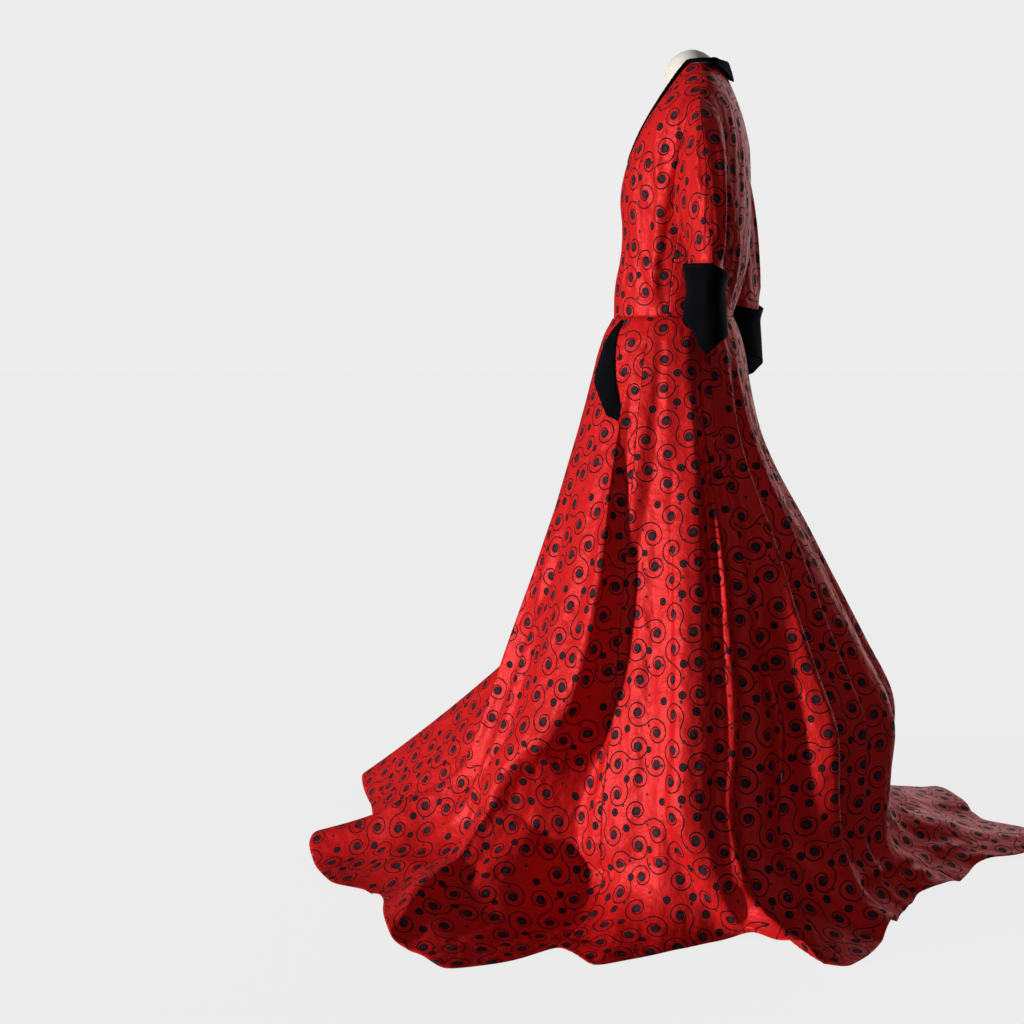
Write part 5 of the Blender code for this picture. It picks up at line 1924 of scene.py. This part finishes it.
@dataclass
class Stitching:
    """Hand stitches along the edges, made by one tree of Geometry Nodes."""

    spacing: float = 5.0 * MM
    length: float = 2.6 * MM
    radius: float = 0.22 * MM

    def tree(self) -> Tree:
        """Build the node tree, with named inputs for its sizes.

        Returns:
            The tree.
        """
        tree = bpy.data.node_groups.new("stitches_along_edge", "GeometryNodeTree")
        face = tree.interface
        face.new_socket("Edge", in_out="INPUT", socket_type="NodeSocketGeometry")
        for label in ("Spacing", "Length", "Radius"):
            face.new_socket(label, in_out="INPUT", socket_type="NodeSocketFloat")
        face.new_socket("Thread", in_out="INPUT", socket_type="NodeSocketMaterial")
        face.new_socket("Stitches", in_out="OUTPUT", socket_type="NodeSocketGeometry")
        add = partial(add_node, tree)
        given = tree.nodes.new("NodeGroupInput")
        curve = add("GeometryNodeMeshToCurve", {}, {"Mesh": given.outputs["Edge"]})
        even = add("GeometryNodeResampleCurve", {"mode": "LENGTH"},
                   {"Curve": curve.outputs["Curve"], "Length": given.outputs["Spacing"]})
        tangent = add("GeometryNodeInputTangent", {}, {})
        turned = add("FunctionNodeAlignRotationToVector", {"axis": "Z"},
                     {"Vector": tangent.outputs["Tangent"]})
        bead = add("GeometryNodeMeshUVSphere", {}, {"Segments": 6, "Rings": 5, "Radius": 1.0})
        half = add("ShaderNodeMath", {"operation": "MULTIPLY"},
                   {0: given.outputs["Length"], 1: 0.5})
        size = add("ShaderNodeCombineXYZ", {}, {"X": given.outputs["Radius"],
                                                "Y": given.outputs["Radius"],
                                                "Z": half.outputs[0]})
        placed = add("GeometryNodeInstanceOnPoints", {},
                     {"Points": even.outputs["Curve"], "Instance": bead.outputs["Mesh"],
                      "Rotation": turned.outputs["Rotation"], "Scale": size.outputs["Vector"]})
        real = add("GeometryNodeRealizeInstances", {}, {"Geometry": placed.outputs["Instances"]})
        dyed = add("GeometryNodeSetMaterial", {}, {"Geometry": real.outputs["Geometry"],
                                                   "Material": given.outputs["Thread"]})
        result = tree.nodes.new("NodeGroupOutput")
        tree.links.new(dyed.outputs["Geometry"], result.inputs["Stitches"])
        return tree

    def sew(self, name: str, paths: list[Array], thread: SewingThread, tree: Tree) -> None:
        """Sew along some paths and keep the stitches as one plain mesh.

        Args:
            name: name of the piece.
            paths: lines of points in metres.
            thread: the thread's finish.
            tree: the stitches' node tree.
        """
        points = np.concatenate(paths)
        edges = []
        start = 0
        for path in paths:
            edges += [(start + i, start + i + 1) for i in range(len(path) - 1)]
            start += len(path)
        guide_mesh = bpy.data.meshes.new(f"{name}_guide")
        guide_mesh.from_pydata(points.tolist(), edges, [])
        guide = link(f"{name}_guide", guide_mesh)
        material = thread.make()
        sewn = guide.modifiers.new("Stitches", "NODES")
        sewn.node_group = tree
        values = {"Spacing": self.spacing, "Length": self.length, "Radius": self.radius,
                  "Thread": material}
        for item in tree.interface.items_tree:
            if item.name in values:
                sewn[item.identifier] = values[item.name]
        graph = bpy.context.evaluated_depsgraph_get()
        mesh = bpy.data.meshes.new_from_object(guide.evaluated_get(graph))
        bpy.data.objects.remove(guide, do_unlink=True)
        bpy.data.meshes.remove(guide_mesh)
        mesh.name = name
        mesh.shade_smooth()
        dress(link(name, mesh), material, thread.slot)
        LOG.info("%s has %d faces", name, len(mesh.polygons))


@dataclass
class Sewing:
    """Which edges are stitched and where the stitches run."""

    hang: SkirtHang = SkirtHang()
    proud: float = 0.25 * MM
    hem_row: float = 0.985
    waist_row: float = 0.004
    cuff_rows: tuple[float, ...] = (0.045, 0.955)
    cuff_proud: float = 0.1 * MM
    red: SewingThread = SewingThread("red_thread", (0.42, 0.008, 0.010, 1.0), Slot.SATIN)
    black: SewingThread = SewingThread("black_thread", (0.02, 0.02, 0.026, 1.0), Slot.VELVET)

    def skirt_path(self, level: float, count: int) -> Array:
        """Line of stitches all round the skirt.

        Args:
            level: row of the skirt at which they run.
            count: number of points in the line.

        Returns:
            Points in metres.
        """
        angle = np.linspace(-90.0, 270.0, count)
        row = np.full(count, level)
        away = surface_normals(self.hang.point, angle, row, -1.0)
        return self.hang.point(angle, row) + away * self.proud

    def cuff_paths(self, sleeves: Sleeves) -> list[Array]:
        """Lines near the upper and lower rims of both cuffs.

        Args:
            sleeves: the sleeves that the cuffs belong to.

        Returns:
            Lines of points in metres.
        """
        degrees = np.linspace(0.0, FULL_TURN, 160)
        off = sleeves.cuff_away(degrees) * (VELVET + self.cuff_proud)
        paths = []
        for level in self.cuff_rows:
            line = sleeves.cuff(degrees, np.full(len(degrees), level)) + off
            for side in Side:
                paths.append(sleeves.placed(line, side, np.ones(len(degrees))))
        return paths

    def build(self, stitching: Stitching, sleeves: Sleeves) -> None:
        """Sew the red and the black edges.

        Args:
            stitching: sizes of the stitches.
            sleeves: the sleeves, for their cuffs.
        """
        tree = stitching.tree()
        around = [self.skirt_path(self.hem_row, 900), self.skirt_path(self.waist_row, 500)]
        stitching.sew("hem_and_waist_stitches", around, self.red, tree)
        stitching.sew("cuff_stitches", self.cuff_paths(sleeves), self.black, tree)


def grey(level: float) -> Colour:
    """A colour without a hue."""
    return (level, level, level, 1.0)


@dataclass
class Studio:
    """Pale floor and background, three lamps and the camera.

    The key lamp stands low in front of the gown, to the wearer's left. The soft
    fill comes from the camera's side and the soft back light from beyond the
    gown. Angles are in degrees and the lens and its sensor in millimetres.
    """

    floor_half: float = 40.0
    pale: float = 0.847
    floor_glow: float = 0.815
    floor_albedo: float = 0.10
    ambient: float = 0.08
    sky: Colour = (0.93, 0.96, 1.0, 1.0)
    key_from: Triple = (0.51, -0.857, 0.06)
    key_strength: float = 3.3
    key_angle: float = 4.0
    fill_from: Triple = (0.95, 0.15, 0.35)
    fill_strength: float = 0.26
    back_from: Triple = (-0.95, 0.28, 0.15)
    back_strength: float = 1.1
    soft_angle: float = 60.0
    camera_place: Triple = (2.5918, 0.3498, 0.9134)
    camera_turn: Pair = (-0.9703, -0.2419)
    camera_pitch: float = 6.47
    camera_roll: float = -0.43
    lens: float = 53.07
    sensor: float = 36.0

    def sun(self, name: str, source: Triple, strength: float, angle: float) -> None:
        """Add a sun lamp.

        Args:
            name: name of the lamp.
            source: direction that it shines from.
            strength: its strength.
            angle: its width in the sky in degrees.
        """
        lamp = bpy.data.lights.new(name, "SUN")
        lamp.energy = strength
        lamp.angle = math.radians(angle)
        link(name, lamp).rotation_euler = Vector(source).to_track_quat("Z", "Y").to_euler()

    def build_floor(self) -> None:
        """Pale floor, which takes soft shadows and throws no light back."""
        size = self.floor_half
        mesh = bpy.data.meshes.new("studio_floor")
        mesh.from_pydata([(-size, -size, 0.0), (size, -size, 0.0), (size, size, 0.0),
                          (-size, size, 0.0)], [], [(0, 1, 2, 3)])
        floor = link("studio_floor", mesh)
        shader = Shader("studio_floor_paint",
                        {"Base Color": grey(self.floor_albedo), "Roughness": 1.0,
                         "Specular IOR Level": 0.0, "Emission Color": grey(1.0),
                         "Emission Strength": self.floor_glow})
        mesh.materials.append(shader.material)
        floor.visible_diffuse = False
        floor.visible_glossy = False

    def build_world(self) -> None:
        """Even pale background; the light that it gives is dimmer."""
        world = bpy.data.worlds.new("studio")
        world.use_nodes = True
        bpy.context.scene.world = world
        tree = world.node_tree
        seen = add_node(tree, "ShaderNodeBackground", {}, {"Color": grey(self.pale)})
        lit = tree.nodes["Background"]
        lit.inputs["Color"].default_value = self.sky
        lit.inputs["Strength"].default_value = self.ambient
        ray = add_node(tree, "ShaderNodeLightPath", {}, {})
        mix = add_node(tree, "ShaderNodeMixShader", {},
                       {"Fac": ray.outputs["Is Camera Ray"], 1: lit.outputs["Background"],
                        2: seen.outputs["Background"]})
        tree.links.new(mix.outputs["Shader"], tree.nodes["World Output"].inputs["Surface"])

    def build_camera(self) -> None:
        """Camera at the photograph's viewing angle."""
        lens = bpy.data.cameras.new("camera")
        lens.lens = self.lens
        lens.sensor_width = self.sensor
        camera = link("camera", lens)
        pitch = math.radians(self.camera_pitch)
        level = Vector((*self.camera_turn, 0.0)).normalized() * math.cos(pitch)
        look = level + Vector((0.0, 0.0, -math.sin(pitch)))
        camera.location = self.camera_place
        camera.rotation_mode = "QUATERNION"
        roll = Quaternion((0.0, 0.0, 1.0), math.radians(self.camera_roll))
        camera.rotation_quaternion = look.to_track_quat("-Z", "Y") @ roll
        bpy.context.scene.camera = camera

    def build(self) -> None:
        """Build the floor, the lights, the background and the camera."""
        self.build_floor()
        self.build_world()
        self.sun("key", self.key_from, self.key_strength, self.key_angle)
        self.sun("fill", self.fill_from, self.fill_strength, self.soft_angle)
        self.sun("back", self.back_from, self.back_strength, self.soft_angle)
        self.build_camera()
        bpy.context.scene.view_settings.view_transform = "Standard"


def main() -> None:
    """Build the gown, its form and the studio, and note the sizes."""
    logging.basicConfig(level=logging.INFO, format="%(message)s")
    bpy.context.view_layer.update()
    Studio().build()
    satin = RedSatin().make()
    velvet = BlackVelvet().make()
    sleeves = Sleeves()
    DressForm().build(FormCover().make(), StandPaint().make())
    Bodice().build(satin)
    sleeves.build(satin, velvet)
    Collar().build(velvet)
    Skirt().build(satin)
    Pockets().build(velvet)
    Sewing().build(Stitching(), sleeves)


if __name__ == "__main__":
    main()
